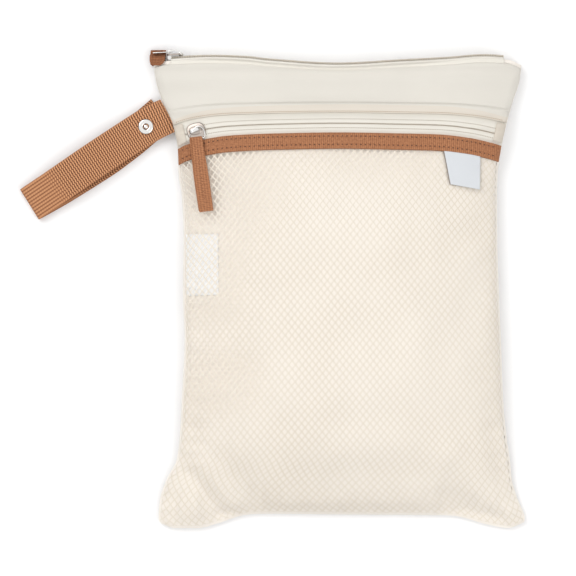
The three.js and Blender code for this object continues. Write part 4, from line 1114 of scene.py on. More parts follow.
# Coil: a row of flattened loops across a line, with the ways along and outwards at each point
def coilRow(name, points, alongs, outs, coil, nodes):
    run = arcLengths(points[:, None], 0)[:, 0]
    wireShare = 0.16
    deselectAll()
    bpy.ops.mesh.primitive_torus_add(
        major_segments=10,
        minor_segments=5,
        major_radius=1,
        minor_radius=wireShare,
        rotation=(0, math.pi / 2, 0),
    )
    bpy.ops.object.transform_apply(location=False, rotation=True, scale=False)
    piece = startPiece(name, coilNylon)
    wire = coil["wire"]

    def loopAt(one, start):
        ring = unit(one * np.array([0, 1, 1]))
        out = unit(alongLine(start, run, outs))
        along = unit(alongLine(start, run, alongs))
        side = np.cross(out, along)
        reach, rise = (coil["width"] - wire) / 2, (coil["height"] - wire) / 2
        loop = ring[:, 1:2] * side * reach + ring[:, 2:] * out * rise
        tube = (one - ring) / wireShare
        bead = (tube[:, :1] * along + tube[:, 1:2] * side + tube[:, 2:] * out) * wire / 2
        return alongLine(start, run, points) + side * coil["offset"] + loop + bead

    starts = np.arange(coil["pitch"] / 2 + coil["shift"], run[-1] - coil["pitch"] / 2, coil["pitch"])
    repeatMesh(piece, coilNylon, starts, loopAt)
    dress(piece, nodes)


coilAcross = np.linspace(pocketZip["start"], pocketZip["end"], 400)
coilLine = seatAt(coilAcross, np.full(400, lines["parting"]), netFloor + pocketZip["coilLevel"])
coilRow("pocket_coil_loops", *coilLine, pocketZip["coil"], ["pocket_zip_coil"])


# Covers over the zip's ends
def endCovers():
    width = planAt(1.0, lines["parting"])[0] - planAt(0.0, lines["parting"])[0]
    share = endCover["width"] / width
    level = netFloor + pocket["coilHeight"] + endCover["level"] + 2 * gap
    low, high = lines["bindingTop"] + endCover["overlap"], lines["hemLow"] - endCover["overlap"]
    profile = []
    for t in np.linspace(0, 1, 22):
        tuck = endCover["tuck"] * (1 - float(smooth(min(t, 1 - t) / 0.08 + 0.2)))
        profile.append((lerp(low, high, t), level - tuck))
    for label, start, end in (("left", 0, share), ("right", 1 - share, 1)):
        points = gridOf(np.linspace(start, end, 14), profile)
        piece = sheetPiece("pocket_end_cover_" + label, points, endCover["cloth"], hemCloth)
        dress(piece, ["pocket_zip_end_" + label])


# the parting's dark line is painted shade of the gap between the tapes
for label, line, thread, radius in (
    ("lower", "chainLow", greyThread, 0.36),
    ("parting", "parting", partingShadeThread, 0.42),
    ("upper", "chainTop", greyThread, 0.36),
):
    stitchAcross(
        "pocket_zip_line_" + label,
        lines[line],
        netFloor + pocket["coilHeight"] + gap + pocketZip["cloth"] + zipStitch["rise"],
        dict(zipStitch, radius=radius),
        thread,
        pocketZip["start"] + 0.03,
        pocketZip["end"],
    )
print("pocket zip made")


# Mouth zip: tapes turn from the panels' edges to the coil, which faces +Y

mouthZip = dict(
    columns=220,
    cloth=0.8,
    turns=9,
    wire=0.75,
    pitch=1.2,
    overlap=0.4,
    inset=0.6,
    sink=0.35,
    underlap=1.5,
)


# Place of the mouth's edges, and the heights of its back and its front
def mouthAt(across):
    front = stackPoint(across, 1.0, netFloor + bag["wall"])
    back = liftAt(across, np.ones_like(front[..., 0]))
    return front[..., 0], front[..., 1], back, front[..., 2]


def mouthTapes():
    across = np.linspace(mouth["start"], mouth["end"], mouthZip["columns"])
    x, y, back, front = mouthAt(across)
    middle = (front + back) / 2
    reach = mouth["tapeShow"] - mouth["coilHeight"] - gap
    for label, side, edge in (("front", 1, front), ("back", -1, back)):
        inner = middle + side * (mouth["coilWidth"] / 2 - mouthZip["inset"])
        rise = np.maximum(np.abs(edge - inner) - mouthZip["cloth"] / 2, 0.05)
        rows = []
        if side > 0:
            level = netFloor + bag["wall"] - mouthZip["cloth"] / 2 - mouthZip["sink"]
            for row in np.linspace(rowAt(band["mouthDepth"] + mouthZip["underlap"]), 1, 8):
                rows.append(stackPoint(across, row, level))
        for turn in np.linspace(0, math.pi / 2, mouthZip["turns"]):
            shift = gap + 0.1 + reach * math.sin(turn)
            rows.append(np.stack([x, y + shift, inner + side * rise * math.cos(turn)], -1))
        points = np.array(rows)
        piece = sheetPiece("top_tape_" + label, points, mouthZip["cloth"], zipTapeCloth)
        dress(piece, ["top_zip_tape_" + label])


def mouthCoil():
    across = np.linspace(mouth["start"], mouth["end"], 500)
    x, y, back, front = mouthAt(across)
    top = y + mouth["tapeShow"] - mouth["coilHeight"] / 2
    points = np.stack([x, top, (front + back) / 2], -1)
    alongs = unit(np.gradient(points, axis=0))
    outs = np.tile([0.0, 1.0, 0.0], (500, 1))
    half = mouth["coilWidth"] / 2
    overlap = mouthZip["overlap"]
    halfPitch = mouthZip["pitch"] / 2
    for label, shift, side, nodes in (("front", 0, -1, ["top_zip_coil"]), ("back", halfPitch, 1, [])):
        coil = dict(
            height=mouth["coilHeight"],
            width=half + overlap,
            wire=mouthZip["wire"],
            pitch=mouthZip["pitch"],
            shift=shift,
            offset=side * (half - overlap) / 2,
        )
        coilRow("top_coil_" + label, points, alongs, outs, coil, nodes)


mouthTapes()
mouthCoil()
print("mouth zip made")


# Strap: one length of webbing, from the seam to the fold and back under itself

strap = dict(
    width=25.4,
    wall=1.4,
    loopLength=117,
    loopGap=6.6,
    foldRadius=2.1,
    tail=15.5,
    snapSetback=17.6,
    angle=212.7,
    seamHeight=0.87,
    ribPitch=1.85,
    grains=11,
    grainDepth=0.42,
    grainLean=0.11,
    grainShift=0.1,
    calmPlace=0.47,
    calmNear=6,
    calmReach=18,
    calmFade=16,
    selvage=0.035,
)
snap = dict(cap=11, bore=4.2, post=2.6, barrel=6, flange=1, shoulder=0.7, segments=48)
upperCurve = [
    dict(along=0, side=0),
    dict(along=0.08, side=0.05),
    dict(along=0.17, side=0.075),
    dict(along=0.5, side=0.06),
    dict(along=0.8, side=0.02),
    dict(along=1, side=0),
]
lowerCurve = [
    dict(along=0, side=0.165),
    dict(along=0.15, side=0.07),
    dict(along=0.3, side=-0.015),
    dict(along=0.5, side=-0.07),
    dict(along=0.75, side=-0.06),
    dict(along=1, side=0),
]
strapY = strap["seamHeight"] * bag["length"] - halfLength
strapRoot = np.array([float(seamX(strapY)) - 1.3, strapY, 0])
strapTurn = math.radians(strap["angle"])
strapAlong = np.array([math.cos(strapTurn), math.sin(strapTurn), 0])
strapSide = np.array([strapAlong[1], -strapAlong[0], 0])
restHeight = strap["wall"] / 2
lowerAtSnap = snap["flange"] - 0.1 + gap + strap["wall"] / 2
studShoulder = lowerAtSnap + strap["wall"] / 2 + gap
socketLow = studShoulder + snap["shoulder"] + gap
upperAtSnap = socketLow + snap["flange"] + gap + strap["wall"] / 2
capLow = upperAtSnap + strap["wall"] / 2 + gap
capTop = capLow + snap["flange"] + 0.1
snapShare = strap["snapSetback"] / strap["loopLength"]
foldTop = restHeight + 2 * strap["foldRadius"]
seamStack = float(liftAt(0.0, strap["seamHeight"])) + bag["wall"] + strap["wall"] / 2
loopHeight = restHeight + strap["loopGap"] + strap["wall"]
upperHeights = [
    dict(along=0, z=seamStack),
    dict(along=snapShare - 0.05, z=upperAtSnap),
    dict(along=snapShare + 0.05, z=upperAtSnap),
    dict(along=0.42, z=loopHeight),
    dict(along=0.66, z=loopHeight),
    dict(along=0.9, z=foldTop + 0.6),
    dict(along=1, z=foldTop),
]
tailShare = (strap["snapSetback"] - strap["tail"]) / strap["loopLength"]
lowerHeights = [
    dict(along=0, z=restHeight + 0.1),
    dict(along=tailShare, z=restHeight + 0.1),
    dict(along=snapShare - 0.05, z=lowerAtSnap),
    dict(along=snapShare + 0.05, z=lowerAtSnap),
    dict(along=snapShare + 0.17, z=restHeight),
    dict(along=1, z=restHeight),
]


def strapPoint(curve, heights, along):
    along = np.asarray(along, float)[..., None]
    side = strap["width"] * follow(curve, "along", "side", along)
    point = strapRoot + strapAlong * along * strap["loopLength"] + strapSide * side
    point[..., 2] = follow(heights, "along", "z", along[..., 0])
    return point


# Middle line of the whole strap, from its free end round the fold to the seam
def strapLine():
    foldStart = 1 - strap["foldRadius"] / strap["loopLength"]
    lower = strapPoint(lowerCurve, lowerHeights, np.linspace(tailShare, foldStart, 220))
    upper = strapPoint(upperCurve, upperHeights, np.linspace(foldStart, -0.004, 220))
    fold = []
    for turn in np.linspace(0, math.pi, 18)[1:-1]:
        centre = strapRoot + strapAlong * foldStart * strap["loopLength"]
        reach = strapAlong * math.sin(turn) * strap["foldRadius"]
        rise = restHeight + strap["foldRadius"] * (1 - math.cos(turn))
        fold.append(centre + reach + np.array([0, 0, rise]))
    return np.concatenate([lower, np.array(fold), upper])


# Height of the weave's floats, from 0 in the grooves to 1, at a place on the strap: cross ribs,
# which give way to lengthwise ridges on both sides of the fold
def grainAt(across, along, total):
    fromFold = np.abs(along - total * strap["calmPlace"])
    rows = smooth((np.abs(fromFold - strap["calmNear"]) - strap["calmReach"]) / strap["calmFade"])
    column = across * strap["grains"]
    shift = strap["grainShift"] * (np.floor(column) % 2) + strap["grainLean"] * np.sin(2 * math.pi * column)
    rib = 0.5 - 0.5 * np.cos(2 * math.pi * (along / strap["ribPitch"] + shift))
    thread = np.abs(np.sin(math.pi * column))
    crossRibs = rib**0.8 * (0.72 + 0.28 * thread**0.6)
    ridges = 0.22 + 0.42 * thread + 0.1 * rib
    selvage = smooth(np.minimum(across, 1 - across) / strap["selvage"])
    return lerp(0.5, lerp(ridges, crossRibs, rows), selvage)


# Grid of the strap's middle layer, the weave's height at each point, and the strap's length
def strapGrid():
    line = strapLine()
    run = arcLengths(line[:, None], 0)[:, 0]
    total = run[-1]
    places = np.linspace(0, total, int(total / strap["ribPitch"] * 5) + 1)
    centre = np.stack([np.interp(places, run, line[:, k]) for k in range(3)], -1)
    heading = np.gradient(centre, axis=0)
    lateral = unit(np.stack([-heading[:, 1], heading[:, 0], np.zeros(len(heading))], -1))
    # the lower layer runs out and the upper one back, so the side vector is kept to one side
    lateral = lateral * np.sign(lateral @ strapSide)[:, None]
    soft = np.ones(25) / 25
    for k in range(3):
        lateral[:, k] = np.convolve(np.pad(lateral[:, k], 12, mode="edge"), soft, mode="valid")
    lateral = unit(lateral)
    shares = np.linspace(0, 1, 67)
    across = (shares - 0.5) * strap["width"]
    points = centre[:, None] + lateral[:, None] * across[None, :, None]
    return points, grainAt(shares[None, :], places[:, None], total), total


def strapCloth():
    points, grain, total = strapGrid()
    piece = sheetPiece("strap_webbing", points, 0, webbingCloth)
    piece.data.attributes.new("grain", "FLOAT", "POINT").data.foreach_set("value", grain.ravel())
    cloth = strap["wall"] - strap["grainDepth"] * 0.9
    addModifier(piece, "SOLIDIFY", thickness=cloth * mm, offset=0)
    # floats stand out on both faces
    mesh = piece.data
    values = np.empty(len(mesh.vertices))
    mesh.attributes["grain"].data.foreach_get("value", values)
    rise = (values - 0.5) * strap["grainDepth"] * mm
    moved = pointRows(mesh) + pointRows(mesh, "normal") * rise[:, None]
    moved[:, 2] = np.maximum(moved[:, 2], 0.02 * mm)
    mesh.vertices.foreach_set("co", moved.ravel())
    mesh.update()
    shadeSmooth(piece, 70)
    dress(piece, ["strap"])


strapCloth()
print("strap made")


# Snap: spun from short profiles about its middle

snapPlace = strapPoint(upperCurve, upperHeights, np.array(snapShare))


def spunPiece(name, profile, material):
    deselectAll()
    bpy.ops.mesh.primitive_plane_add(size=1)
    piece = startPiece(name, material)
    work = bmesh.new()
    verts = [work.verts.new((r * mm, 0, z * mm)) for r, z in profile]
    for first, second in zip(verts, verts[1:]):
        work.edges.new((first, second))
    work.to_mesh(piece.data)
    work.free()
    editAll()
    bpy.ops.mesh.spin(steps=snap["segments"], angle=2 * math.pi, center=(0, 0, 0), axis=(0, 0, 1))
    bpy.ops.mesh.select_all(action="SELECT")
    bpy.ops.mesh.remove_doubles(threshold=0.01 * mm)
    bpy.ops.mesh.normals_make_consistent(inside=False)
    bpy.ops.object.mode_set(mode="OBJECT")
    return piece


def snapPieces():
    capRadius, bore, barrel = snap["cap"] / 2, snap["bore"] / 2, snap["barrel"] / 2
    socketTop = socketLow + snap["flange"]
    ringProfile = [
        (bore, socketLow + 0.2),
        (bore + 0.2, socketLow),
        (capRadius - 1.2, socketLow),
        (capRadius - 1, socketLow + 0.2),
        (capRadius - 1, socketTop),
        (barrel, socketTop),
        (barrel, capLow),
        (capRadius - 0.15, capLow),
        (capRadius, capLow + 0.2),
        (capRadius - 0.05, capLow + 0.5),
        (capRadius - 0.45, capTop - 0.16),
        (capRadius - 1.0, capTop),
        (capRadius - 1.7, capTop - 0.05),
        (bore + 0.9, capTop - 0.12),
        (bore + 0.4, capTop - 0.14),
        (bore + 0.08, capTop - 0.4),
        (bore, capTop - 0.75),
        (bore, socketLow + 0.2),
    ]
    post, stem = snap["post"] / 2, snap["post"] / 2 + 0.6
    flangeTop = snap["flange"] - 0.1
    shoulderTop = studShoulder + snap["shoulder"]
    postProfile = [
        (0, 0.02),
        (capRadius - 0.9, 0.02),
        (capRadius - 0.5, 0.3),
        (capRadius - 0.6, flangeTop),
        (stem, flangeTop),
        (stem, studShoulder),
        (capRadius - 1.5, studShoulder),
        (capRadius - 1.5, shoulderTop),
        (post + 0.3, shoulderTop),
        (post, shoulderTop + 0.3),
        (post + 0.12, capTop - 0.9),
        (post, capTop - 0.45),
        (post - 0.5, capTop - 0.2),
        (0, capTop - 0.16),
    ]
    halves = [("snap_ring", ringProfile, "snap_cap"), ("snap_post", postProfile, "snap_stud")]
    for name, profile, half in halves:
        piece = spunPiece(name, profile, nickelPlate)
        moveTo(piece, shiftBy(snapPlace[0], snapPlace[1], 0))
        shadeSmooth(piece, 40)
        dress(piece, [half])


snapPieces()
print("snap made")


# Metal pieces of the two zips

photo = dict(middleX=341, middleY=291, millimetresPerPixel=0.714)


# Place in millimetres of a pixel of the photo
def pixel(x, y):
    scale = photo["millimetresPerPixel"]
    return (x - photo["middleX"]) * scale, (photo["middleY"] - y) * scale


def frameMatrix(origin, alongWay, outWay):
    side = np.cross(outWay, alongWay)
    matrix = Matrix.Identity(4)
    for k, column in enumerate((alongWay, side, outWay, origin * mm)):
        for j in range(3):
            matrix[j][k] = float(column[j])
    return matrix


# A closed ring of round wire
def wirePiece(name, points, radius, material):
    deselectAll()
    bpy.ops.curve.primitive_nurbs_path_add()
    curve = bpy.context.object
    curve.data.splines.clear()
    spline = curve.data.splines.new("NURBS")
    spline.points.add(len(points) - 1)
    for point, place in zip(spline.points, points):
        point.co = (*[float(value) * mm for value in place], 1)
    spline.use_cyclic_u = True
    spline.use_endpoint_u = False
    spline.order_u = 3
    curve.data.resolution_u = 4
    curve.data.bevel_depth = radius * mm
    curve.data.bevel_resolution = 2
    curve.data.use_fill_caps = True
    bpy.ops.object.convert(target="MESH")
    piece = startPiece(name, material)
    piece.matrix_world = Matrix.Identity(4)
    return piece


# A rounded plate: an outline of a squared circle, raised and with a softened rim
def platePiece(name, material, length, width, height, square, rim=0.4):
    deselectAll()
    bpy.ops.mesh.primitive_circle_add(vertices=40, radius=1, fill_type="NGON")
    piece = startPiece(name, material)

    def squared(places):
        shaped = places.copy()
        shaped[:, 0] = np.sign(places[:, 0]) * np.abs(places[:, 0]) ** square * length / 2 * mm
        shaped[:, 1] = np.sign(places[:, 1]) * np.abs(places[:, 1]) ** square * width / 2 * mm
        return shaped

    reshape(piece, squared)
    editAll()
    bpy.ops.mesh.extrude_region_move(TRANSFORM_OT_translate=dict(value=(0, 0, (height - rim) * mm)))
    bpy.ops.mesh.inset(thickness=rim * mm, depth=rim * mm)
    bpy.ops.mesh.inset(thickness=rim * mm, depth=rim * 0.2 * mm)
    bpy.ops.mesh.select_all(action="SELECT")
    bpy.ops.mesh.normals_make_consistent(inside=False)
    bpy.ops.object.mode_set(mode="OBJECT")
    return piece


# An arch of flat wire with round shoulders, standing on the plate
def archPiece(name, material, length, height, width, wire):
    deselectAll()
    bpy.ops.mesh.primitive_cube_add(size=1)
    piece = startPiece(name, material)
    editAll()
    bpy.ops.mesh.subdivide(number_cuts=15)
    bpy.ops.object.mode_set(mode="OBJECT")

    def bend(places):
        turn = (places[:, 0] + 0.5) * math.pi
        level = places[:, 2] * wire
        across = -np.sign(np.cos(turn)) * np.abs(np.cos(turn)) ** 0.7
        rise = np.sin(turn) ** 0.6
        shaped = np.empty_like(places)
        shaped[:, 0] = across * (length / 2 - wire / 2 + level)
        shaped[:, 1] = places[:, 1] * width
        shaped[:, 2] = rise * (height - wire / 2 + level)
        return shaped * mm

    reshape(piece, bend)
    addModifier(piece, "BEVEL", width=wire * 0.25 * mm, segments=2, angle_limit=math.radians(50))
    return piece


def joinPieces(name, pieces):
    deselectAll()
    for piece in pieces:
        piece.select_set(True)
    bpy.context.view_layer.objects.active = pieces[0]
    bpy.ops.object.join()
    joined = bpy.context.object
    joined.name = name
    joined.data.name = name
    return joined


pocketSlider = dict(
    place=0.066,
    rise=0.15,
    plate=dict(length=13.4, width=11.6, height=1.7, square=0.72),
    plateShift=(-0.4, 0.2, 0),
    shoulder=dict(length=9.4, width=6.2, height=2.4, square=0.8, rim=0.5),
    shoulderShift=(-0.6, 0.5, 0.1),
    arch=dict(length=8.6, height=3.5, width=2.3, wire=0.95),
    archShift=(-1.2, 0.6, 1.7),
    archTurn=9,
    ringWire=0.55,
)
# the ring comes out of the arch, swings round its right side and carries the tape: pixels of
# the photo, with the height over the slider's foot
ringRoute = [
    dict(x=192.2, y=131.6, over=3.1),
    dict(x=190.4, y=134.2, over=2.9),
    dict(x=189.9, y=137.2, over=1.9),
    dict(x=190.6, y=139.4, over=1.2),
    dict(x=194, y=139.6, over=1.0),
    dict(x=200.5, y=138.4, over=1.0),
    dict(x=204.2, y=138.6, over=1.2),
    dict(x=205.4, y=136.2, over=1.5),
    dict(x=204.8, y=132.2, over=2.3),
    dict(x=202.8, y=128.4, over=2.9),
    dict(x=199.6, y=126.4, over=3.1),
    dict(x=196.2, y=127.4, over=3.0),
    dict(x=194, y=129.4, over=3.0),
]


def pocketSliderPieces():
    level = netFloor + pocket["coilHeight"] + gap + pocketZip["cloth"] + pocketSlider["rise"]
    origin, alongWay, outWay = seatAt(np.array(pocketSlider["place"]), np.array(lines["parting"]), level)
    plate = platePiece("plate", warmPlate, **pocketSlider["plate"])
    moveTo(plate, shiftBy(*pocketSlider["plateShift"]))
    shoulder = platePiece("shoulder", warmPlate, **pocketSlider["shoulder"])
    moveTo(shoulder, shiftBy(*pocketSlider["shoulderShift"]))
    arch = archPiece("arch", nickelPlate, **pocketSlider["arch"])
    turned = Matrix.Rotation(math.radians(pocketSlider["archTurn"]), 4, "Z")
    moveTo(arch, shiftBy(*pocketSlider["archShift"]) @ turned)
    body = joinPieces("pocket_slider", [plate, shoulder, arch])
    moveTo(body, frameMatrix(origin, alongWay, outWay))
    shadeSmooth(body, 40)
    dress(body, ["pocket_zip_slider"])
    points = []
    for stop in ringRoute:
        x, y = pixel(stop["x"], stop["y"])
        slope = (outWay[0] * (x - origin[0]) + outWay[1] * (y - origin[1])) / outWay[2]
        points.append((x, y, origin[2] - slope + stop["over"]))
    ring = wirePiece("pocket_ring", points, pocketSlider["ringWire"], nickelPlate)
    shadeSmooth(ring, 60)
    dress(ring, ["pocket_pull_ring"])
    return np.array(points)


ringPoints = pocketSliderPieces()


# Tape folded over the ring's lower bar: one ribbon, of which both layers hang down
pullTape = dict(
    topPixel=(197.3, 139),
    bottomPixel=(206.9, 211.8),
    topWidth=7.7,
    width=9.9,
    cloth=0.7,
    steps=64,
    columns=14,
    lower=dict(shift=-1.5, lift=0.35, shorter=1.1, barSide=-1),
    upper=dict(shift=0, lift=1.2, shorter=0, barSide=1),
    stitch=dict(pitch=2.5, length=1.3, radius=0.36, sink=0.12, ends=6),
)


def pullTapePiece():
    start, end = np.array(pixel(*pullTape["topPixel"])), np.array(pixel(*pullTape["bottomPixel"]))
    down = unit(end - start)
    side = np.array([-down[1], down[0]])
    length = float(np.linalg.norm(end - start))
    barHeight = float(np.interp(start[0], ringPoints[4:6, 0], ringPoints[4:6, 2]))
    shares = np.linspace(0, 1, pullTape["steps"])
    acrossShares = np.linspace(-0.5, 0.5, pullTape["columns"])
    wrap = pocketSlider["ringWire"] + pullTape["cloth"] / 2 + 0.1

    def layer(shift, lift, shorter, barSide):
        rows = []
        for share in shares:
            reach = min(share * length, length - shorter)
            width = lerp(pullTape["topWidth"], pullTape["width"], float(smooth(share * 1.6)))
            middle = start + down * reach + side * shift * (1 - 0.7 * share)
            rows.append(middle[None] + side[None] * width * acrossShares[:, None])
        plan = np.array(rows)
        under = outerHeight(plan[..., 0], plan[..., 1]).max(axis=1)
        window = np.pad(under, 6, mode="edge")
        under = np.array([window[k : k + 13].max() for k in range(len(under))])
        under = np.convolve(np.pad(under, 6, mode="edge"), np.ones(13) / 13, mode="valid")
        rest = under + 0.2 + lift
        atBar = np.maximum(barHeight + barSide * wrap, rest - 0.8)
        height = lerp(atBar, rest, smooth(shares * 9))
        wave = 0.12 * np.sin(shares * 17) * np.minimum(1, shares * 6)
        edgeCurl = 0.25 * (2 * acrossShares) ** 4
        return np.concatenate([plan, (height + wave)[:, None, None] + edgeCurl[None, :, None]], -1)

    lowerLayer = layer(**pullTape["lower"])
    upperLayer = layer(**pullTape["upper"])
    fold = []
    for turn in np.linspace(0, math.pi, 9)[1:-1]:
        blend = (1 - math.cos(turn)) / 2
        line = lerp(lowerLayer[0], upperLayer[0], blend)
        line[:, :2] -= down * wrap * math.sin(turn)
        fold.append(line)
    points = np.concatenate([lowerLayer[::-1], np.array(fold), upperLayer])
    piece = sheetPiece("pull_tape_ribbon", points, pullTape["cloth"], tapeCloth)
    dress(piece, ["pocket_pull_tape"])
    stitch = pullTape["stitch"]
    seam = upperLayer[stitch["ends"] : -stitch["ends"], pullTape["columns"] // 2 - 1].copy()
    seam[:, 2] += pullTape["cloth"] / 2 - stitch["sink"]
    outs = np.tile([0.0, 0.0, 1.0], (len(seam), 1))
    stitchLine("pull_tape_stitches", seam, outs, stitch, brownThread)


pullTapePiece()
print("pocket's slider, ring and tape made")


# Mouth zip's slider, seen on its edge, with its pull and the tab over the zip's end

mouthSlider = dict(
    place=0.053,
    lift=0.6,
    plate=dict(length=10, width=8.8, height=1.1, square=0.6, rim=0.3),
    arch=dict(length=9, height=3.1, width=1.9, wire=1.1),
    archShift=(0.2, 0, 1.1),
    nose=(1.9, 2.6, 1.5),
    noseShift=(5.0, 0, 0.6),
    flange=dict(length=8.6, width=3.6, height=1.0, square=0.5, rim=0.3),
    flangeShift=(-0.4, 4.3, -1.2),
)
pull = dict(length=13.5, width=5.4, wall=0.8, eyeBar=1.1, window=4.6, rake=-3, setback=1.5, height=1.3)


def mouthMetal():
    x, y, back, front = mouthAt(np.array(mouthSlider["place"]))
    nextX, nextY, _, _ = mouthAt(np.array(mouthSlider["place"] + 0.03))
    tilt = math.atan2(float(nextY - y), float(nextX - x))
    edge = float(y) + mouth["tapeShow"] + mouthSlider["lift"]
    origin = np.array([float(x), edge, float(back + front) / 2])
    upright = np.array([-math.sin(tilt), math.cos(tilt), 0.0])
    lengthWay = np.array([math.cos(tilt), math.sin(tilt), 0.0])
    plate = platePiece("plate", warmPlate, **mouthSlider["plate"])
    arch = archPiece("arch", nickelPlate, **mouthSlider["arch"])
    moveTo(arch, shiftBy(*mouthSlider["archShift"]))
    deselectAll()
    bpy.ops.mesh.primitive_uv_sphere_add(segments=20, ring_count=12, radius=1)
    nose = startPiece("nose", nickelPlate)
    noseSize, noseShift = np.array(mouthSlider["nose"]), np.array(mouthSlider["noseShift"])
    reshape(nose, lambda places: (places * noseSize + noseShift) * mm)
    # the flange turns down over the tape in front
    flange = platePiece("flange", nickelPlate, **mouthSlider["flange"])
    moveTo(flange, shiftBy(*mouthSlider["flangeShift"]) @ Matrix.Rotation(-math.pi / 2, 4, "X"))
    body = joinPieces("top_slider", [plate, arch, nose, flange])
    moveTo(body, frameMatrix(origin, lengthWay, upright))
    shadeSmooth(body, 40)
    dress(body, ["top_zip_slider"])
    return origin, tilt


mouthOrigin, mouthTilt = mouthMetal()


def mouthPull():
    deselectAll()
    bpy.ops.mesh.primitive_grid_add(x_subdivisions=3, y_subdivisions=3, size=2)
    piece = startPiece("top_pull", nickelPlate)
    half = pull["width"] / 2
    columns = [pull["wall"] / 2, -pull["eyeBar"], -pull["eyeBar"] - pull["window"], -pull["length"]]
    levels = [-half, -half + pull["eyeBar"], half - pull["eyeBar"], half]

    def spread(places):
        shaped = np.zeros_like(places)
        shaped[:, 0] = [columns[3 - int(round((value + 1) * 1.5))] for value in places[:, 0]]
        shaped[:, 1] = [levels[int(round((value + 1) * 1.5))] for value in places[:, 1]]
        return shaped * mm

    reshape(piece, spread)
    window = [face for face in piece.data.polygons if abs(face.center.y) < 0.2 * mm]
    middle = sorted(window, key=lambda face: face.center.x)[1]
    work = bmesh.new()
    work.from_mesh(piece.data)
    work.faces.ensure_lookup_table()
    bmesh.ops.delete(work, geom=[work.faces[middle.index]], context="FACES")
    work.to_mesh(piece.data)
    work.free()
    addModifier(piece, "SOLIDIFY", thickness=pull["wall"] * mm, offset=0)
    addModifier(piece, "BEVEL", width=0.32 * mm, segments=3, angle_limit=math.radians(50))
    overPlate = shiftBy(-pull["setback"], mouthSlider["plate"]["height"] + pull["height"], 0)
    raked = Matrix.Rotation(-math.radians(pull["rake"]) - mouthTilt, 4, "Z")
    stand = raked @ Matrix.Rotation(math.pi / 2, 4, "X")
    moveTo(piece, shiftBy(*mouthOrigin) @ Matrix.Rotation(mouthTilt, 4, "Z") @ overPlate @ stand)
    shadeSmooth(piece, 40)
    dress(piece, ["top_zip_pull"], "mouth_pull")


mouthPull()


tab = dict(lobePlace=(-127.5, 163.5), lobeRise=0.75, cloth=0.8, rows=70, columns=22)


# Ribbon round the zip's end, from its back to its front: places and heights in millimetres,
# left and right edges as pixels of the photo
def endTab():
    lobeX, lobeY = tab["lobePlace"]
    lobe = float(outerHeight(np.array(lobeX), np.array(lobeY))) + tab["lobeRise"]
    tabRoute = [
        dict(y=160.4, z=1.5, left=152.6, right=161.5),
        dict(y=161.6, z=1.5, left=150.6, right=164),
        dict(y=165, z=1.6, left=150.2, right=165.8),
        dict(y=168.6, z=1.8, left=150.4, right=166.2),
        dict(y=170.6, z=2.2, left=150.8, right=166.3),
        dict(y=171.4, z=3.0, left=151, right=166.3),
        dict(y=171.3, z=3.9, left=151, right=166.3),
        dict(y=170.3, z=4.4, left=151, right=166.2),
        dict(y=168.8, z=4.6, left=150.6, right=166),
        dict(y=168, z=5.2, left=150.2, right=165.6),
        dict(y=167.2, z=lobe - 2.2, left=150, right=165.4),
        dict(y=166.5, z=lobe - 0.9, left=150, right=165.3),
        dict(y=165.7, z=lobe - 0.2, left=150, right=165.2),
        dict(y=164.6, z=lobe + 0.1, left=150, right=165),
        dict(y=163.6, z=lobe, left=150.1, right=164.8),
        dict(y=162.5, z=lobe - 0.05, left=150.6, right=164),
        dict(y=161.6, z=lobe - 0.1, left=151.6, right=162.6),
        dict(y=161.0, z=lobe - 0.2, left=153, right=160.8),
        dict(y=160.8, z=lobe - 0.3, left=154.4, right=159.4),
    ]
    steps = np.linspace(0, len(tabRoute) - 1, tab["rows"])
    stops = {
        column: np.interp(steps, range(len(tabRoute)), [row[column] for row in tabRoute])[:, None]
        for column in ("y", "z", "left", "right")
    }
    x, _ = pixel(lerp(stops["left"], stops["right"], np.linspace(0, 1, tab["columns"])[None, :]), 0)
    points = np.stack(np.broadcast_arrays(x, stops["y"], stops["z"]), -1)
    piece = sheetPiece("end_tab_ribbon", points, tab["cloth"], tabCloth)
    dress(piece, ["top_zip_end_tab"])


endTab()
print("mouth's slider, pull and tab made")


# Labels: plain woven ones, with a finer border. Corners are pixels of the photo, from the
# bottom left round to the top left

labels = dict(
    columns=28,
    rows=36,
    border=0.12,
    borderPlace=0.05,
    borderWidth=0.03,
    flagCorners=[(450, 184.7), (479.3, 190), (480, 153.9), (443.2, 149)],
    foldCorners=[(449, 184.9), (478.4, 189.4), (479.4, 153.9), (442.2, 149)],
    careCorners=[(187, 296), (219, 295), (218.5, 234), (186.2, 234.5)],
    cloth=0.35,
    foldShadowCloth=0.3,
    flagCurl=1.2,
    foldCurl=1.0,
    foldGap=0.4,
    underGap=0.1,
    overGap=0.2,
)


def labelSheet(name, corners, cloth, levelAt, material, nodes, curl):
    across, down = np.meshgrid(np.linspace(0, 1, labels["columns"]), np.linspace(0, 1, labels["rows"]))
    bottomLeft, bottomRight, topRight, topLeft = (np.array(pixel(*corner)) for corner in corners)
    low = lerp(bottomLeft, bottomRight, across[..., None])
    high = lerp(topLeft, topRight, across[..., None])
    plan = lerp(low, high, down[..., None])
    edge = np.minimum(np.minimum(across, 1 - across), down)
    border = labels["border"] * np.exp(-(((edge - labels["borderPlace"]) / labels["borderWidth"]) ** 2))
    lift = curl * (1 - down) ** 3 * (0.3 + across)
    height = levelAt(plan[..., 0], plan[..., 1]) + cloth / 2 + border + lift
    points = np.concatenate([plan, height[..., None]], -1)
    piece = sheetPiece(name, points, cloth, material)
    dress(piece, nodes)
    return piece, points


def underNetHeight(x, y):
    across, row = locate(x, y)
    return stackPoint(across, row, netFloor + labels["underGap"])[..., 2]


def overNetHeight(x, y):
    across, row = locate(x, y)
    level = netFloor + netLift(across, row) + pocket["netWall"] + labels["overGap"]
    return stackPoint(across, row, level)[..., 2]


def overFoldHeight(x, y):
    return overNetHeight(x, y) + labels["foldGap"]
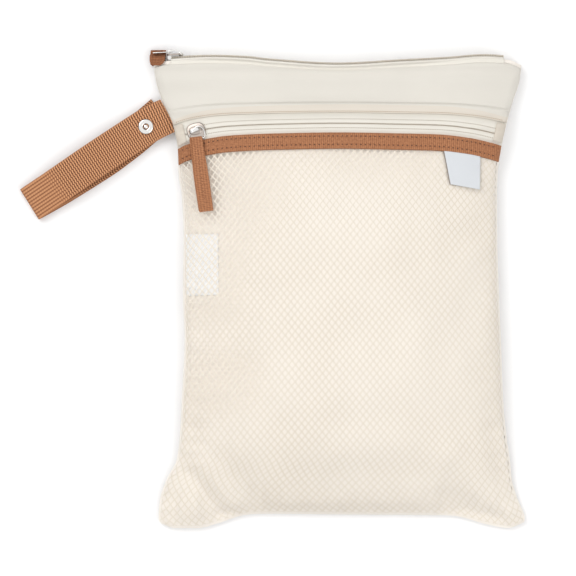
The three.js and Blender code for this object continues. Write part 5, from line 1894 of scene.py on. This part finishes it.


# the label is folded once, and its back layer shows as a thin edge on the left, dark as painted shadow of
# the fold
flagPiece, flagPoints = labelSheet(
    "flag_label_cloth",
    labels["flagCorners"],
    labels["cloth"],
    overFoldHeight,
    labelCloth,
    ["flag_label"],
    labels["flagCurl"],
)
labelSheet(
    "flag_label_fold_shadow",
    labels["foldCorners"],
    labels["foldShadowCloth"],
    overNetHeight,
    foldShadowCloth,
    [],
    labels["foldCurl"],
)
carePiece, carePoints = labelSheet(
    "care_label_cloth",
    labels["careCorners"],
    labels["cloth"],
    underNetHeight,
    careCloth,
    ["care_label"],
    0,
)
print("labels made")


# Floor, lights and camera

view = dict(centreX=-37.8, centreY=2.1, frameWidth=411, distance=7000, sensor=36)
room = dict(
    walls=[(0.15, (0.08, 0.075, 0.07)), (0.8, (1, 1, 1))],
    strength=1.08,
    floorSize=6,
    floorDrop=0.2,
)
lamps = [
    dict(name="fillLight", place=(1.3, -0.9, 1.7), power=10, size=1.6),
    dict(name="keyLight", place=(-1.3, 1.2, 1.7), power=20, size=1.6),
]


def layFloor():
    material, tree, shader = newMaterial("paleFloor", Roughness=0.9)
    cloud = noiseAt(tree, objectPlace(tree), 3, 2)
    colour = mixed(tree, cloud, (0.97, 0.97, 0.975, 1), (0.99, 0.99, 0.99, 1))
    tree.links.new(colour, shader.inputs["Base Color"])
    deselectAll()
    bpy.ops.mesh.primitive_plane_add(size=room["floorSize"], location=(0, 0, -room["floorDrop"] * mm))
    startPiece("floor", material)


# Bright overhead and dark towards the horizon, so that metal keeps its contrast
def lightRoom():
    world = bpy.context.scene.world or bpy.data.worlds.new("softRoom")
    bpy.context.scene.world = world
    world.use_nodes = True
    sky = world.node_tree
    height = node(sky, "SeparateXYZ", {0: node(sky, "TexCoord").outputs["Generated"]}).outputs[2]
    sky.links.new(ramped(sky, height, room["walls"]), sky.nodes["Background"].inputs["Color"])
    sky.nodes["Background"].inputs["Strength"].default_value = room["strength"]
    bpy.context.scene.view_settings.view_transform = "Standard"
    for lamp in lamps:
        bpy.ops.object.light_add(type="AREA", location=lamp["place"])
        light = bpy.context.object
        light.name = lamp["name"]
        light.data.energy = lamp["power"]
        light.data.size = lamp["size"]
        light.rotation_euler = (-Vector(lamp["place"])).to_track_quat("-Z", "Y").to_euler()


def placeCamera():
    place = (view["centreX"] * mm, view["centreY"] * mm, view["distance"] * mm)
    bpy.ops.object.camera_add(location=place, rotation=(0, 0, 0))
    camera = bpy.context.object
    camera.data.sensor_width = view["sensor"]
    camera.data.lens = view["sensor"] * view["distance"] / view["frameWidth"]
    camera.data.clip_start = 0.05
    camera.data.dof.use_dof = False
    bpy.context.scene.camera = camera


endCovers()
layFloor()
lightRoom()
placeCamera()
print("stage, lights and camera made")
